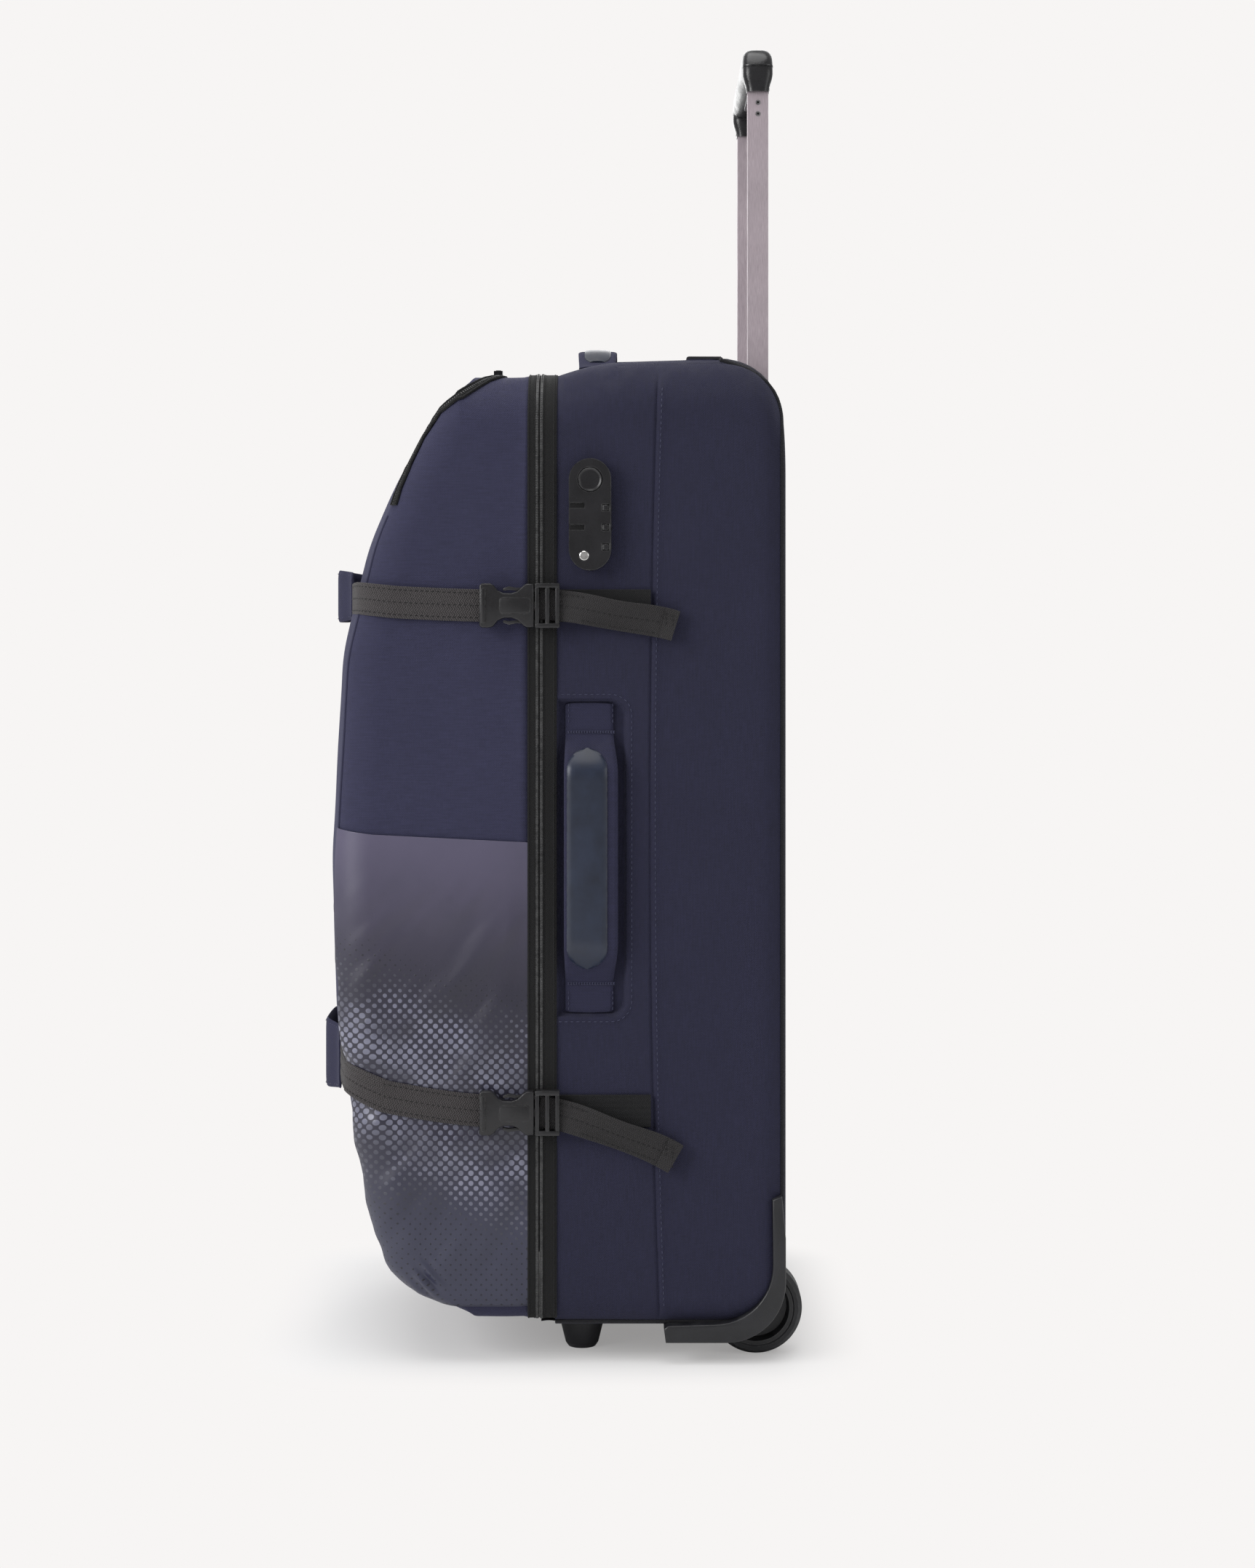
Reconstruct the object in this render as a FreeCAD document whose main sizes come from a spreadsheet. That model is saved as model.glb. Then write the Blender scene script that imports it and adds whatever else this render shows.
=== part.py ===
"""Rolling duffel bag with a telescopic trolley handle, as a parametric FreeCAD document.

Frame: X to the bag's right, Y from the lid (front) to the trolley (back), Z up, floor at Z = 0.
The origin is on the floor under the middle of the whole object. Lengths are millimetres.
"""
import FreeCAD, Part
import Sketcher
import math
import os
import re

V = FreeCAD.Vector
doc = FreeCAD.newDocument("rolling_duffel")
sheet = doc.addObject("Spreadsheet::Sheet", "Sizes")

SIZES = [
    # the shell
    ("bag_width", 340, "outer width, side face to side face"),
    ("bag_top", 780, "top of the tub above the floor"),
    ("bag_base", 26, "underside of the tub above the floor"),
    ("back_plane", 181, "rear face of the tub"),
    ("wall", 4, "padded fabric wall"),
    ("zip_line", -10, "where lid and tub part, at the zip's teeth"),
    ("zip_top", 766, "top of the shell at the zip"),
    ("tub_edge", 2, "front edge of the tub's walls"),
    ("lid_edge", -18, "rear edge of the lid's walls"),
    ("lid_base", 31, "underside of the lid"),
    ("lid_front", -185, "front of the lid at its fullest"),
    ("lid_crown", 19, "how far the lid's front stands out between its side edges"),
    ("crest_slope", 48, "length over which the tub's top rises from the zip"),
    ("top_radius", 45, "round of the top's side corners"),
    ("low_radius", 25, "round of the bottom's side corners"),
    ("shoulder_radius", 50, "round between top and back"),
    ("heel_radius", 45, "round between bottom and back"),
    ("back_radius", 20, "round of the upright rear corners"),
    ("lid_corner", 26, "round between the lid's side and its front"),
    ("lining_gap", 34, "lining to rear face, where the trolley tubes run"),
    ("lining_wall", 1, "lining cloth"),
    ("board_in", 6, "back board inside the walls"),
    ("board_wall", 2, "back board"),
    ("strip_wall", 1.2, "hinge strip"),
    ("lay_gap", 0.2, "between two layers"),
    # zips
    ("tape_wall", 1.6, "zip tape"),
    ("tape_proud", 1, "tape outside the shell"),
    ("coil_width", 2.8, "half of the zip's coil"),
    ("coil_proud", 0.6, "coil outside the tape"),
    ("zip_gap", 0.3, "half gap between the two rows of teeth"),
    ("zip_end", 36, "lower end of the zip above the floor"),
    # webbing and buckles
    ("web_width", 25, "webbing"),
    ("web_wall", 1.4, "webbing thickness"),
    ("web_gap", 0.8, "webbing off the shell"),
    ("buckle_gap", 2.6, "buckle off the shell"),
    ("buckle_deep", 12, "buckle thickness"),
    ("buckle_high", 34, "buckle height"),
    ("socket_front", -55.5, "front end of a buckle socket"),
    ("socket_mouth", -13.5, "mouth of a buckle socket"),
    ("mouth_gap", 0.4, "socket mouth to plug body"),
    ("plug_back", 6, "rear end of a plug body"),
    ("window_high", 25.4, "plug's webbing slots"),
    ("window_wide", 3.5, "plug's webbing slots, front to back"),
    ("prong_long", 24, "plug prong inside its socket"),
    ("prong_high", 19, "prong across"),
    ("prong_deep", 5, "prong thickness"),
    ("cavity_high", 25, "socket cavity across"),
    ("cavity_deep", 6.4, "socket cavity thickness"),
    ("upper_strap_drop", 195, "bag top to the upper buckles' middle"),
    ("lower_strap", 196, "lower buckles' middle above the floor"),
    ("upper_rise", 6, "rise of the upper strap towards the front"),
    ("lower_rise", 24, "rise of the lower strap towards the front"),
    ("tail_long", 92, "loose end of a strap"),
    ("upper_sag", 17, "droop of the upper loose ends"),
    ("lower_sag", 36, "droop of the lower loose ends"),
    ("anchor_long", 70, "sewn end of a strap on the tub"),
    # trolley
    ("post_half", 94, "trolley posts from the middle"),
    ("post_inset", 19, "rear face to the middle of the posts"),
    ("post_line", "=back_plane - post_inset", "middle of the posts, front to back"),
    ("post_wide", 12, "post, side to side"),
    ("post_deep", 16.4, "post, front to back"),
    ("post_wall", 1.2, "post wall"),
    ("post_gap", 0.3, "post to outer tube"),
    ("tube_wall", 1.5, "outer tube wall"),
    ("tube_low", 88, "lower end of the outer tubes"),
    ("tube_drop", 22, "bag top to the outer tubes' top"),
    ("grip_top", 1032, "top of the grip, pulled out"),
    ("grip_high", 22, "grip bar, top to bottom"),
    ("leg_high", 37, "grip ends, top to bottom"),
    ("leg_wide", 24, "grip ends, side to side"),
    ("grip_deep", 24, "grip, front to back"),
    ("handle_travel", 214, "how far the handle goes down"),
    ("post_overlap", 118, "post left in its tube when pulled out"),
    ("button_long", 60, "grip button"),
    ("button_deep", 10, "grip button, front to back"),
    ("pin_radius", 2.5, "locking pin"),
    ("pin_inside", 1, "locking pin"),
    # wheels
    ("wheel_radius", 36, "wheel"),
    ("wheel_inset", 22.4, "rear face to the wheels' axle"),
    ("wheel_line", "=back_plane - wheel_inset", "wheel axle, front to back"),
    ("wheel_middle", 126.5, "wheel's middle from the bag's middle"),
    ("wheel_wide", 27, "tyre width"),
    ("tyre_thick", 7, "tyre"),
    ("axle_radius", 3, "axle"),
    ("axle_gap", 0.05, "running clearance on the axle"),
    ("well_gap", 5, "wheel to its well"),
    ("well_wall", 3, "well and bracket wall"),
    ("guard_base", 17, "underside of the corner guards"),
    ("guard_top", 130, "top of the corner guards"),
    ("guard_front", 86, "front end of the corner guards"),
    ("guard_proud", 2, "corner guard outside the shell"),
    ("foot_line", 22, "front feet, front to back"),
    ("foot_half", 112, "front feet from the middle"),
    ("foot_radius", 13, "front foot"),
    # carry handles
    ("recess_back", 57.7, "rear edge of the side handle's recess"),
    ("recess_top_drop", 267, "bag top to the recess"),
    ("recess_high", 245, "recess, top to bottom"),
    ("recess_deep", 6.5, "recess floor inside the shell"),
    ("grab_front", 9, "front edge of the side handle"),
    ("grab_wide", 42, "side handle, front to back"),
    ("grab_long", 240, "side handle, top to bottom"),
    ("grab_wall", 4, "side handle's padding"),
    ("grab_out", 11, "side handle's outer face outside the shell"),
    ("grab_end", 24, "sewn end of the side handle"),
    ("top_grab_front", 17, "front edge of the top handle"),
    ("top_grab_wide", 33, "top handle, front to back"),
    ("top_grab_half", 88, "half the top handle's length"),
    ("top_grab_up", 19, "top handle's outer face above the bag's top"),
    ("front_grab_half", 62, "half a front handle's length"),
    ("front_grab_band", 6, "front handle's padding"),
    ("upper_grab_reach", 17, "upper front handle outside the lid"),
    ("lower_grab_reach", 12, "lower front handle outside the lid"),
    ("upper_grab_high", 49, "upper front handle, top to bottom"),
    ("lower_grab_high", 63, "lower front handle, top to bottom"),
    ("upper_grab_drop", 186, "bag top to the upper front handle's middle"),
    ("lower_grab_up", 219, "lower front handle's middle above the floor"),
    # lock
    ("lock_drop", 125, "bag top to the lock's middle"),
    ("lock_front", 13, "front edge of the lock"),
    ("lock_wide", 32.5, "lock, front to back"),
    ("lock_high", 86, "lock, top to bottom"),
    ("lock_deep", 10, "lock outside the shell"),
    ("dial_radius", 4.8, "number dial"),
    ("dial_wall", 4.4, "number dial thickness"),
    ("dial_pitch", 15.1, "dial to dial"),
    ("dial_gap", 0.4, "dial to lock case"),
    ("spindle_radius", 1, "dial spindle"),
    ("release_radius", 9.4, "lock's round button"),
    ("release_travel", 1.5, "lock's round button"),
    ("barrel_radius", 3.6, "key barrel"),
]
ALIASES = [row[0] for row in SIZES]
for row, (alias, value, note) in enumerate(SIZES, start=1):
    sheet.set(f"A{row}", alias)
    sheet.set(f"B{row}", str(value))
    sheet.setAlias(f"B{row}", alias)
    sheet.set(f"C{row}", note)
doc.recompute()

nodes = {}


def size(alias):
    return float(sheet.get(alias))


def bind(item, path, text):
    """Tie a property to the sheet; names in the text are the sheet's aliases."""
    item.setExpression(path, re.sub(r"[a-z]\w*", lambda word: f"Sizes.{word.group(0)}"
                                    if word.group(0) in ALIASES else word.group(0), str(text)))


def keep(label, item):
    """Count an object as a sub-part under its own label."""
    item.Label = label
    nodes[label] = item
    return item


# ---------------------------------------------------------------- parametric makers
def block(name, low, high):
    """A box between two corners, each three expressions."""
    box = doc.addObject("Part::Box", name)
    for axis, side, near, far in zip("xyz", ("Length", "Width", "Height"), low, high):
        bind(box, f"Placement.Base.{axis}", near)
        bind(box, side, f"({far}) - ({near})")
    return box


def rod(name, base, axis, radius, length):
    """A cylinder that starts at base and runs along an axis."""
    cylinder = doc.addObject("Part::Cylinder", name)
    cylinder.Placement = FreeCAD.Placement(V(), FreeCAD.Rotation(V(0, 0, 1), V(*axis)))
    for letter, text in zip("xyz", base):
        bind(cylinder, f"Placement.Base.{letter}", text)
    bind(cylinder, "Radius", radius)
    bind(cylinder, "Height", length)
    return cylinder


def fuse(name, *pieces):
    joined = doc.addObject("Part::MultiFuse", name)
    joined.Shapes = list(pieces)
    return joined


def cut(name, base, *tools):
    result = doc.addObject("Part::Cut", name)
    result.Base = base
    result.Tool = tools[0] if len(tools) == 1 else fuse(f"{name}_tools", *tools)
    return result


def mirrored(name, source):
    """The left-hand twin of a right-hand piece."""
    twin = doc.addObject("Part::Mirroring", name)
    twin.Source = source
    twin.Normal = V(1, 0, 0)
    return twin


def group(name, *pieces):
    """Separate solids that share one sub-part."""
    together = doc.addObject("Part::Compound", name)
    together.Links = list(pieces)
    return together


def drawn(name, role, points):
    """A body with a closed polygon on one of its origin planes; points are pairs of expressions."""
    body = doc.addObject("PartDesign::Body", name)
    sketch = body.newObject("Sketcher::SketchObject", f"{name}_outline")
    plane = [part for part in body.Origin.OriginFeatures if part.Role == role][0]
    sketch.AttachmentSupport = (plane, [""])
    sketch.MapMode = "FlatFace"
    count = len(points)
    start = [V(math.cos(2 * math.pi * i / count), math.sin(2 * math.pi * i / count)) for i in range(count)]
    for i in range(count):
        sketch.addGeometry(Part.LineSegment(start[i], start[(i + 1) % count]))
    for i in range(count):
        sketch.addConstraint(Sketcher.Constraint("Coincident", i, 2, (i + 1) % count, 1))
    for i, (across, along) in enumerate(points):
        for kind, text, axis in (("DistanceX", across, -2), ("DistanceY", along, -1)):
            if text == "0":
                sketch.addConstraint(Sketcher.Constraint("PointOnObject", i, 1, axis))
            else:
                index = sketch.addConstraint(Sketcher.Constraint(kind, -1, 1, i, 1, 1.0))
                bind(sketch, f"Constraints[{index}]", text)
    return body, sketch


def padded(name, role, points, length, base=("0", "0", "0")):
    """A straight pad of a polygon, centred on its plane."""
    body, sketch = drawn(name, role, points)
    pad = body.newObject("PartDesign::Pad", f"{name}_pad")
    pad.Profile = sketch
    pad.Midplane = True
    bind(pad, "Length", length)
    sketch.Visibility = False
    for letter, text in zip("xyz", base):
        bind(body, f"Placement.Base.{letter}", text)
    return body


def turned(name, points, base, axis):
    """A turned piece: points are (radius, along) pairs, along an axis from base."""
    body, sketch = drawn(name, "XZ_Plane", points)
    turn = body.newObject("PartDesign::Revolution", f"{name}_turn")
    turn.Profile = sketch
    turn.ReferenceAxis = (sketch, ["V_Axis"])
    turn.Angle = 360
    body.Placement = FreeCAD.Placement(V(), FreeCAD.Rotation(V(0, 0, 1), V(*axis)))
    for letter, text in zip("xyz", base):
        bind(body, f"Placement.Base.{letter}", text)
    return body


# ---------------------------------------------------------------- soft shells
def soft(name, shape):
    """A padded or sewn piece whose shape is worked out here from the sheet's sizes."""
    feature = doc.addObject("Part::Feature", name)
    feature.Shape = shape
    feature.Placement = FreeCAD.Placement(V(), FreeCAD.Rotation())
    return keep(name, feature)


def room(low, high):
    """A plain box shape between two corners."""
    return Part.makeBox(high[0] - low[0], high[1] - low[1], high[2] - low[2], V(*low))


def rounded(half, low, high, r_high, r_low, y):
    """A rectangle across the bag at one y, round at its corners, as a wire."""
    def arc(cx, cz, r, start):
        points = [V(cx + r * math.cos(math.radians(start + step)), y,
                    cz + r * math.sin(math.radians(start + step))) for step in (0, 45, 90)]
        return Part.Arc(*points).toShape()
    corners = [arc(half - r_high, high - r_high, r_high, 0), arc(r_high - half, high - r_high, r_high, 90),
               arc(r_low - half, low + r_low, r_low, 180), arc(half - r_low, low + r_low, r_low, 270)]
    edges = []
    for i, corner in enumerate(corners):
        following = corners[(i + 1) % 4]
        edges += [corner, Part.makeLine(corner.Vertexes[-1].Point, following.Vertexes[0].Point)]
    return Part.Wire(edges)


def path_face(points, plane="YZ"):
    """A face from a list of corners; a corner given with a middle point makes an arc to it."""
    def at(u, v):
        return V(0, u, v) if plane == "YZ" else V(u, v, 0)
    edges = []
    last = at(*points[-1][-2:])
    for point in points:
        end = at(*point[-2:])
        if len(point) == 4:
            edges.append(Part.Arc(last, at(*point[:2]), end).toShape())
        else:
            edges.append(Part.makeLine(last, end))
        last = end
    return Part.Face(Part.Wire(edges))


def quarter(cu, cv, r, middle, end):
    """The arc entry for path_face: round centre (cu, cv), through one angle to another."""
    def on(angle):
        return (cu + r * math.cos(math.radians(angle)), cv + r * math.sin(math.radians(angle)))
    return on(middle) + on(end)


half = size("bag_width") / 2
top, base, back = size("bag_top"), size("bag_base"), size("back_plane")
wall, zip_top = size("wall"), size("zip_top")
tub_edge, lid_edge, zip_line = size("tub_edge"), size("lid_edge"), size("zip_line")
r_top, r_low = size("top_radius"), size("low_radius")
CREST_DROP = 3    # the rising top's crest below the bag's top
CROWN_REACH = 120  # depth of lid over which its crown reaches full height
CROWN_EDGE = 0.75  # share of the crown lost at its corners
ARC_PART = 0.3    # where a corner arc's middle lies, as a share of its round
FAR = 2000        # outside everything
OPEN_BY = 20      # how far a solid runs past the opening before its wall is cut off there


def zip_face(inset, y):
    """The bag's outline at the zip."""
    return rounded(half - inset, base + inset, zip_top - inset, r_top - inset, r_low - inset, y)


def tub_solid(inset, rear_inset=None):
    """The tub as a full solid: rising top, round shoulder and heel, round upright corners."""
    rear = back - (inset if rear_inset is None else rear_inset)
    crest = tub_edge + size("crest_slope")
    stations = [(tub_edge - OPEN_BY, zip_top - wall), (tub_edge, zip_top), (crest, top - CREST_DROP),
                (back + OPEN_BY, top)]
    body = Part.makeLoft([rounded(half - inset, base + inset, high - inset, r_top - inset, r_low - inset, y)
                          for y, high in stations], True, True)
    low, high, front = base + inset, top - inset, tub_edge - OPEN_BY - 1
    r_back, r_heel = size("shoulder_radius") - inset, size("heel_radius") - inset
    side = path_face([(front, low), (front, high + 1), (rear - r_back, high + 1), (rear - r_back, high),
                      quarter(rear - r_back, high - r_back, r_back, 45, 0), (rear, low + r_heel),
                      quarter(rear - r_heel, low + r_heel, r_heel, -45, -90)])
    side.translate(V(-half, 0, 0))
    r_up = size("back_radius") - inset
    wide = half - inset
    plan = path_face([(wide, front), (wide, rear - r_up), quarter(wide - r_up, rear - r_up, r_up, 45, 90),
                      (r_up - wide, rear), quarter(r_up - wide, rear - r_up, r_up, 135, 180), (-wide, front)], "XY")
    return body.common(side.extrude(V(2 * half, 0, 0))).common(plan.extrude(V(0, 0, top + OPEN_BY)))


# The lid's fullest front, from its underside to its top: share of the lid's height, and of its depth.
LID_FRONT = [(0.0, 0.20), (0.012, 0.50), (0.044, 0.743), (0.079, 0.80), (0.147, 0.869), (0.312, 0.977),
             (0.483, 1.0), (0.70, 0.949), (0.82, 0.829), (0.887, 0.703), (0.939, 0.589), (0.98, 0.457),
             (1.0, 0.286)]


def lid_front(share_up):
    """The lid's front at a share of its height."""
    for (z0, y0), (z1, y1) in zip(LID_FRONT, LID_FRONT[1:]):
        if share_up <= z1:
            depth = y0 + (y1 - y0) * (share_up - z0) / (z1 - z0)
            return zip_line + (size("lid_front") - zip_line) * depth
    return zip_line + (size("lid_front") - zip_line) * LID_FRONT[-1][1]


def lid_plan(inset, height, front):
    """The lid's outline at one height: two sides, two round corners and a crowned front."""
    wide, rear = half - inset, lid_edge + OPEN_BY
    crown = size("lid_crown") * min(1, (rear - front) / CROWN_REACH)
    r = min(size("lid_corner"), (rear - front - crown) / 3)
    dip = ARC_PART * r
    side_end, corner = front + crown + r, front + crown * CROWN_EDGE
    marks = [V(wide, rear, height), V(wide, side_end, height), V(wide - dip, front + crown + dip, height),
             V(wide - r, corner, height), V(0, front, height), V(r - wide, corner, height),
             V(dip - wide, front + crown + dip, height), V(-wide, side_end, height), V(-wide, rear, height)]
    return Part.Wire([Part.makeLine(marks[0], marks[1]), Part.Arc(*marks[1:4]).toShape(),
                      Part.Arc(*marks[3:6]).toShape(), Part.Arc(*marks[5:8]).toShape(),
                      Part.makeLine(marks[7], marks[8]), Part.makeLine(marks[8], marks[0])])


def lid_solid(inset):
    """The lid as a full solid."""
    low, high = size("lid_base"), zip_top
    wires = []
    for share_up, _ in LID_FRONT:
        height = low + inset + (high - low - 2 * inset) * share_up
        wires.append(lid_plan(inset, height, lid_front(share_up) + inset))
    body = Part.makeLoft(wires, True, True)
    across = Part.Face(rounded(half - inset, low + inset, high - inset, r_top - inset, r_low - inset,
                               lid_edge + OPEN_BY))
    return body.common(across.extrude(V(0, size("lid_front") - lid_edge - 2 * OPEN_BY, 0)))


def zip_ring(outside, inside, front, rear):
    """A band round the sides and top of the bag's outline at the zip, open below."""
    ring = Part.Face(zip_face(-outside, front)).cut(Part.Face(zip_face(inside, front)))
    band = ring.extrude(V(0, rear - front, 0))
    return band.cut(room((-2 * half, front - 1, 0), (2 * half, rear + 1, size("zip_end"))))


# ---------------------------------------------------------------- corner guard outline
wheel_r, axle_y = size("wheel_radius"), size("wheel_line")
well_r = wheel_r + size("well_gap")
guard_z, guard_top, guard_y = size("guard_base"), size("guard_top"), size("guard_front")
guard_back = back - 1
GUARD_ROUND = 46      # outer round of the guard's heel
GUARD_BAND = 12       # width of the guard's upright arm
GUARD_SOLE = 8.5      # height of the guard's lower arm
GUARD_LEAN = 3        # how far the arm's top leans in
GUARD_LEAN_FROM = 0.75  # share of the height where it starts to lean
SLIT = 0.1            # room left round the guard in the cloth
well_in = size("wheel_middle") - size("wheel_wide") / 2 - size("axle_radius") - size("well_wall")
well_out = size("wheel_middle") + size("wheel_wide") / 2 + size("axle_radius") + size("well_wall")


def guard_outer():
    """Everything inside the guard's outer outline, down to the floor side and back."""
    r = GUARD_ROUND
    return path_face([(0, guard_z), (guard_back - r, guard_z),
                      quarter(guard_back - r, guard_z + r, r, -45, 0), (guard_back, guard_top * GUARD_LEAN_FROM),
                      (guard_back - GUARD_LEAN, guard_top), (0, guard_top)])


def guard_inner():
    """The part of the side face that the guard leaves open."""
    arm, r = GUARD_BAND, GUARD_ROUND - 2
    return path_face([(-FAR, guard_z + GUARD_SOLE), (guard_back - arm - r, guard_z + GUARD_SOLE),
                      quarter(guard_back - arm - r, guard_z + GUARD_SOLE + r, r, -45, 0),
                      (guard_back - arm, FAR), (-FAR, FAR)])


def slab(face, low, high):
    """A YZ face made solid between two x values."""
    placed = face.copy()
    placed.translate(V(low, 0, 0))
    return placed.extrude(V(high - low, 0, 0))


def drum(radius, low, high):
    """A round solid on the wheel's axle."""
    return Part.makeCylinder(radius, high - low, V(low, axle_y, wheel_r), V(1, 0, 0))


outer_x = half + size("guard_proud")
guard_block = room((well_in, guard_y, 0), (outer_x, back + 10, guard_top))
band = slab(guard_outer(), well_in, outer_x).cut(slab(guard_inner(), well_in - 1, outer_x + 1)).common(guard_block)
well = slab(guard_outer(), well_in, well_out).common(drum(well_r + size("well_wall"), well_in, well_out))
housing = band.fuse(well)
housing = housing.cut(drum(well_r, well_in + size("well_wall"), well_out - size("well_wall")))
housing = housing.cut(drum(size("axle_radius"), well_in - 1, outer_x + 1)).removeSplitter()
corner_cut = slab(guard_outer(), well_in - SLIT, outer_x).cut(slab(guard_inner(), well_in - 1, outer_x + 1))
corner_cut = corner_cut.common(guard_block).fuse(
    drum(well_r + size("well_wall") + SLIT, well_in - SLIT, well_out + SLIT))
corner_cut = corner_cut.fuse(corner_cut.mirror(V(), V(1, 0, 0)))


# ---------------------------------------------------------------- tub
tooth = size("zip_gap")
split_high, split_low, split_back = top - r_top, base + r_low, back - size("back_radius")
recess_top = top - size("recess_top_drop")
recess_low = recess_top - size("recess_high")
RECESS_WALL = 1.5
recess_floor = half - size("recess_deep")
recess_room = room((recess_floor - RECESS_WALL, tub_edge, recess_low),
                   (half + 1, size("recess_back"), recess_top))
post_x, post_y = size("post_half"), size("post_line")
tube_x = size("post_wide") / 2 + size("post_gap") + size("tube_wall")
tube_y = size("post_deep") / 2 + size("post_gap") + size("tube_wall")
tube_top = top - size("tube_drop")
BEZEL_RIM, BEZEL_DEEP, BEZEL_PROUD = 5, 14, 1.5
bezel_room = room((post_x - tube_x - BEZEL_RIM, post_y - tube_y - 2, tube_top - BEZEL_DEEP),
                  (post_x + tube_x + BEZEL_RIM, post_y + tube_y + 4, FAR))
bezel_rooms = bezel_room.fuse(bezel_room.mirror(V(), V(1, 0, 0)))

tub_shell = tub_solid(0).cut(tub_solid(wall)).cut(corner_cut).cut(bezel_rooms)
tub_walls = tub_shell.common(room((-FAR, tub_edge, 0), (FAR, FAR, FAR)))
soft("tub_top_panel", tub_walls.common(room((-FAR, -FAR, split_high), (FAR, FAR, FAR))))
soft("tub_back_panel", tub_walls.common(room((-FAR, split_back, split_low), (FAR, FAR, split_high))))
tub_floor = tub_shell.common(room((-FAR, zip_line + tooth, 0), (FAR, FAR, split_low)))
soft("tub_bottom_panel", tub_floor.cut(room((-FAR, -FAR, size("zip_end")), (FAR, tub_edge, FAR))))
side_room = room((0, tub_edge, split_low), (FAR, split_back, split_high))
soft("tub_side_right", tub_walls.common(side_room).cut(recess_room))
soft("tub_side_left", tub_walls.common(side_room.mirror(V(), V(1, 0, 0))))
tray = recess_room.common(room((0, 0, 0), (half, FAR, FAR)))
tray_hollow = room((recess_floor, tub_edge + RECESS_WALL, recess_low + RECESS_WALL),
                   (half + 1, size("recess_back") - RECESS_WALL, recess_top - RECESS_WALL))
soft("side_handle_recess", tray.cut(tray_hollow))
lining_wall, lining_gap = size("lining_wall"), size("lining_gap")
lining = tub_solid(wall, lining_gap).cut(tub_solid(wall + lining_wall, lining_gap + lining_wall))
lining = lining.common(room((-FAR, tub_edge, 0), (FAR, FAR, FAR))).cut(corner_cut).cut(recess_room)
soft("tub_lining", lining)
keep("back_board", block("board",
                         ("-bag_width/2 + wall + board_in", "back_plane - lining_gap + lay_gap", "tube_low + 2"),
                         ("bag_width/2 - wall - board_in", "back_plane - lining_gap + lay_gap + board_wall",
                          "bag_top - top_radius")))
keep("hinge_strip", block("strip", ("-bag_width/2 + low_radius + 10", "zip_line + zip_gap + lay_gap",
                                     "bag_base - lay_gap - strip_wall"),
                          ("bag_width/2 - low_radius - 10", "tub_edge", "bag_base - lay_gap")))

# zips round the opening
tape_out, tape_in = size("tape_proud"), size("tape_wall") - size("tape_proud")
soft("tub_zip_tape", zip_ring(tape_out, tape_in, zip_line + tooth, tub_edge))
soft("lid_zip_tape", zip_ring(tape_out, tape_in, lid_edge, zip_line - tooth))
coil_out = tape_out + size("coil_proud")
coil = size("coil_width")
soft("tub_zip_coil", zip_ring(coil_out, -tape_out, zip_line + tooth, zip_line + tooth + coil))
soft("lid_zip_coil", zip_ring(coil_out, -tape_out, zip_line - tooth - coil, zip_line - tooth))

# ---------------------------------------------------------------- lid
lid_shell = lid_solid(0).cut(lid_solid(wall))
lid_walls = lid_shell.common(room((-FAR, -FAR, 0), (FAR, lid_edge, FAR)))
LID_SILL = 30
lid_low, lid_high, lid_side = size("lid_base") + LID_SILL, zip_top - r_top, half - size("lid_corner")
soft("lid_top_panel", lid_walls.common(room((-FAR, -FAR, lid_high), (FAR, FAR, FAR))))
lid_floor = lid_shell.common(room((-FAR, -FAR, 0), (FAR, zip_line - tooth, lid_low)))
soft("lid_bottom_panel", lid_floor.cut(room((-FAR, lid_edge, size("zip_end")), (FAR, FAR, FAR))))
soft("lid_front_panel", lid_walls.common(room((-lid_side, -FAR, lid_low), (lid_side, FAR, lid_high))))
soft("lid_side_right", lid_walls.common(room((lid_side, -FAR, lid_low), (FAR, FAR, lid_high))))
soft("lid_side_left", lid_walls.common(room((-FAR, -FAR, lid_low), (-lid_side, FAR, lid_high))))
lid_cloth = lid_solid(wall).cut(lid_solid(wall + lining_wall))
soft("lid_lining", lid_cloth.common(room((-FAR, -FAR, 0), (FAR, lid_edge, FAR))))
COATING, POCKET_TOP, POCKET_LOW, POCKET_ROUND = 0.6, 408, 45, 5
pocket_skin = lid_solid(-COATING).cut(lid_solid(0))
pocket_room = room((half - POCKET_ROUND, -FAR, POCKET_LOW), (FAR, lid_edge, POCKET_TOP))
right_pocket = pocket_skin.common(pocket_room)
soft("coated_pockets", Part.makeCompound([right_pocket, right_pocket.mirror(V(), V(1, 0, 0))]))
ZIP_BAND = 7
high_front = [(-46, FAR), (-46, zip_top - 3), (-68, zip_top - 15, -87, zip_top - 29),
              (-101, zip_top - 50, -111, zip_top - 71), (-123, zip_top - 103)]
band_back = [(y + ZIP_BAND, z) for y, z in ((p[-2], p[-1]) for p in reversed(high_front))]
pocket_zip = pocket_skin.common(slab(path_face(high_front + band_back), -FAR, FAR))
soft("front_pocket_zip", pocket_zip)

# straps round the lid's front, between the buckle sockets
web, web_wall, web_gap = size("web_width"), size("web_wall"), size("web_gap")
strap_skin = lid_solid(-web_gap - web_wall).cut(lid_solid(-web_gap))
SOCKET_BAR, STRAP_BEND = 3, -150
straps = []
for middle, rise in ((top - size("upper_strap_drop"), size("upper_rise")), (size("lower_strap"), size("lower_rise"))):
    near, bend = size("socket_front") + SOCKET_BAR, STRAP_BEND
    outline = path_face([(near, middle - web / 2), (bend, middle + rise - web / 2), (-FAR, middle + rise - web / 2),
                         (-FAR, middle + rise + web / 2), (bend, middle + rise + web / 2), (near, middle + web / 2)])
    straps.append(strap_skin.common(slab(outline, -FAR, FAR)))
soft("front_straps", Part.makeCompound(straps))

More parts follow.
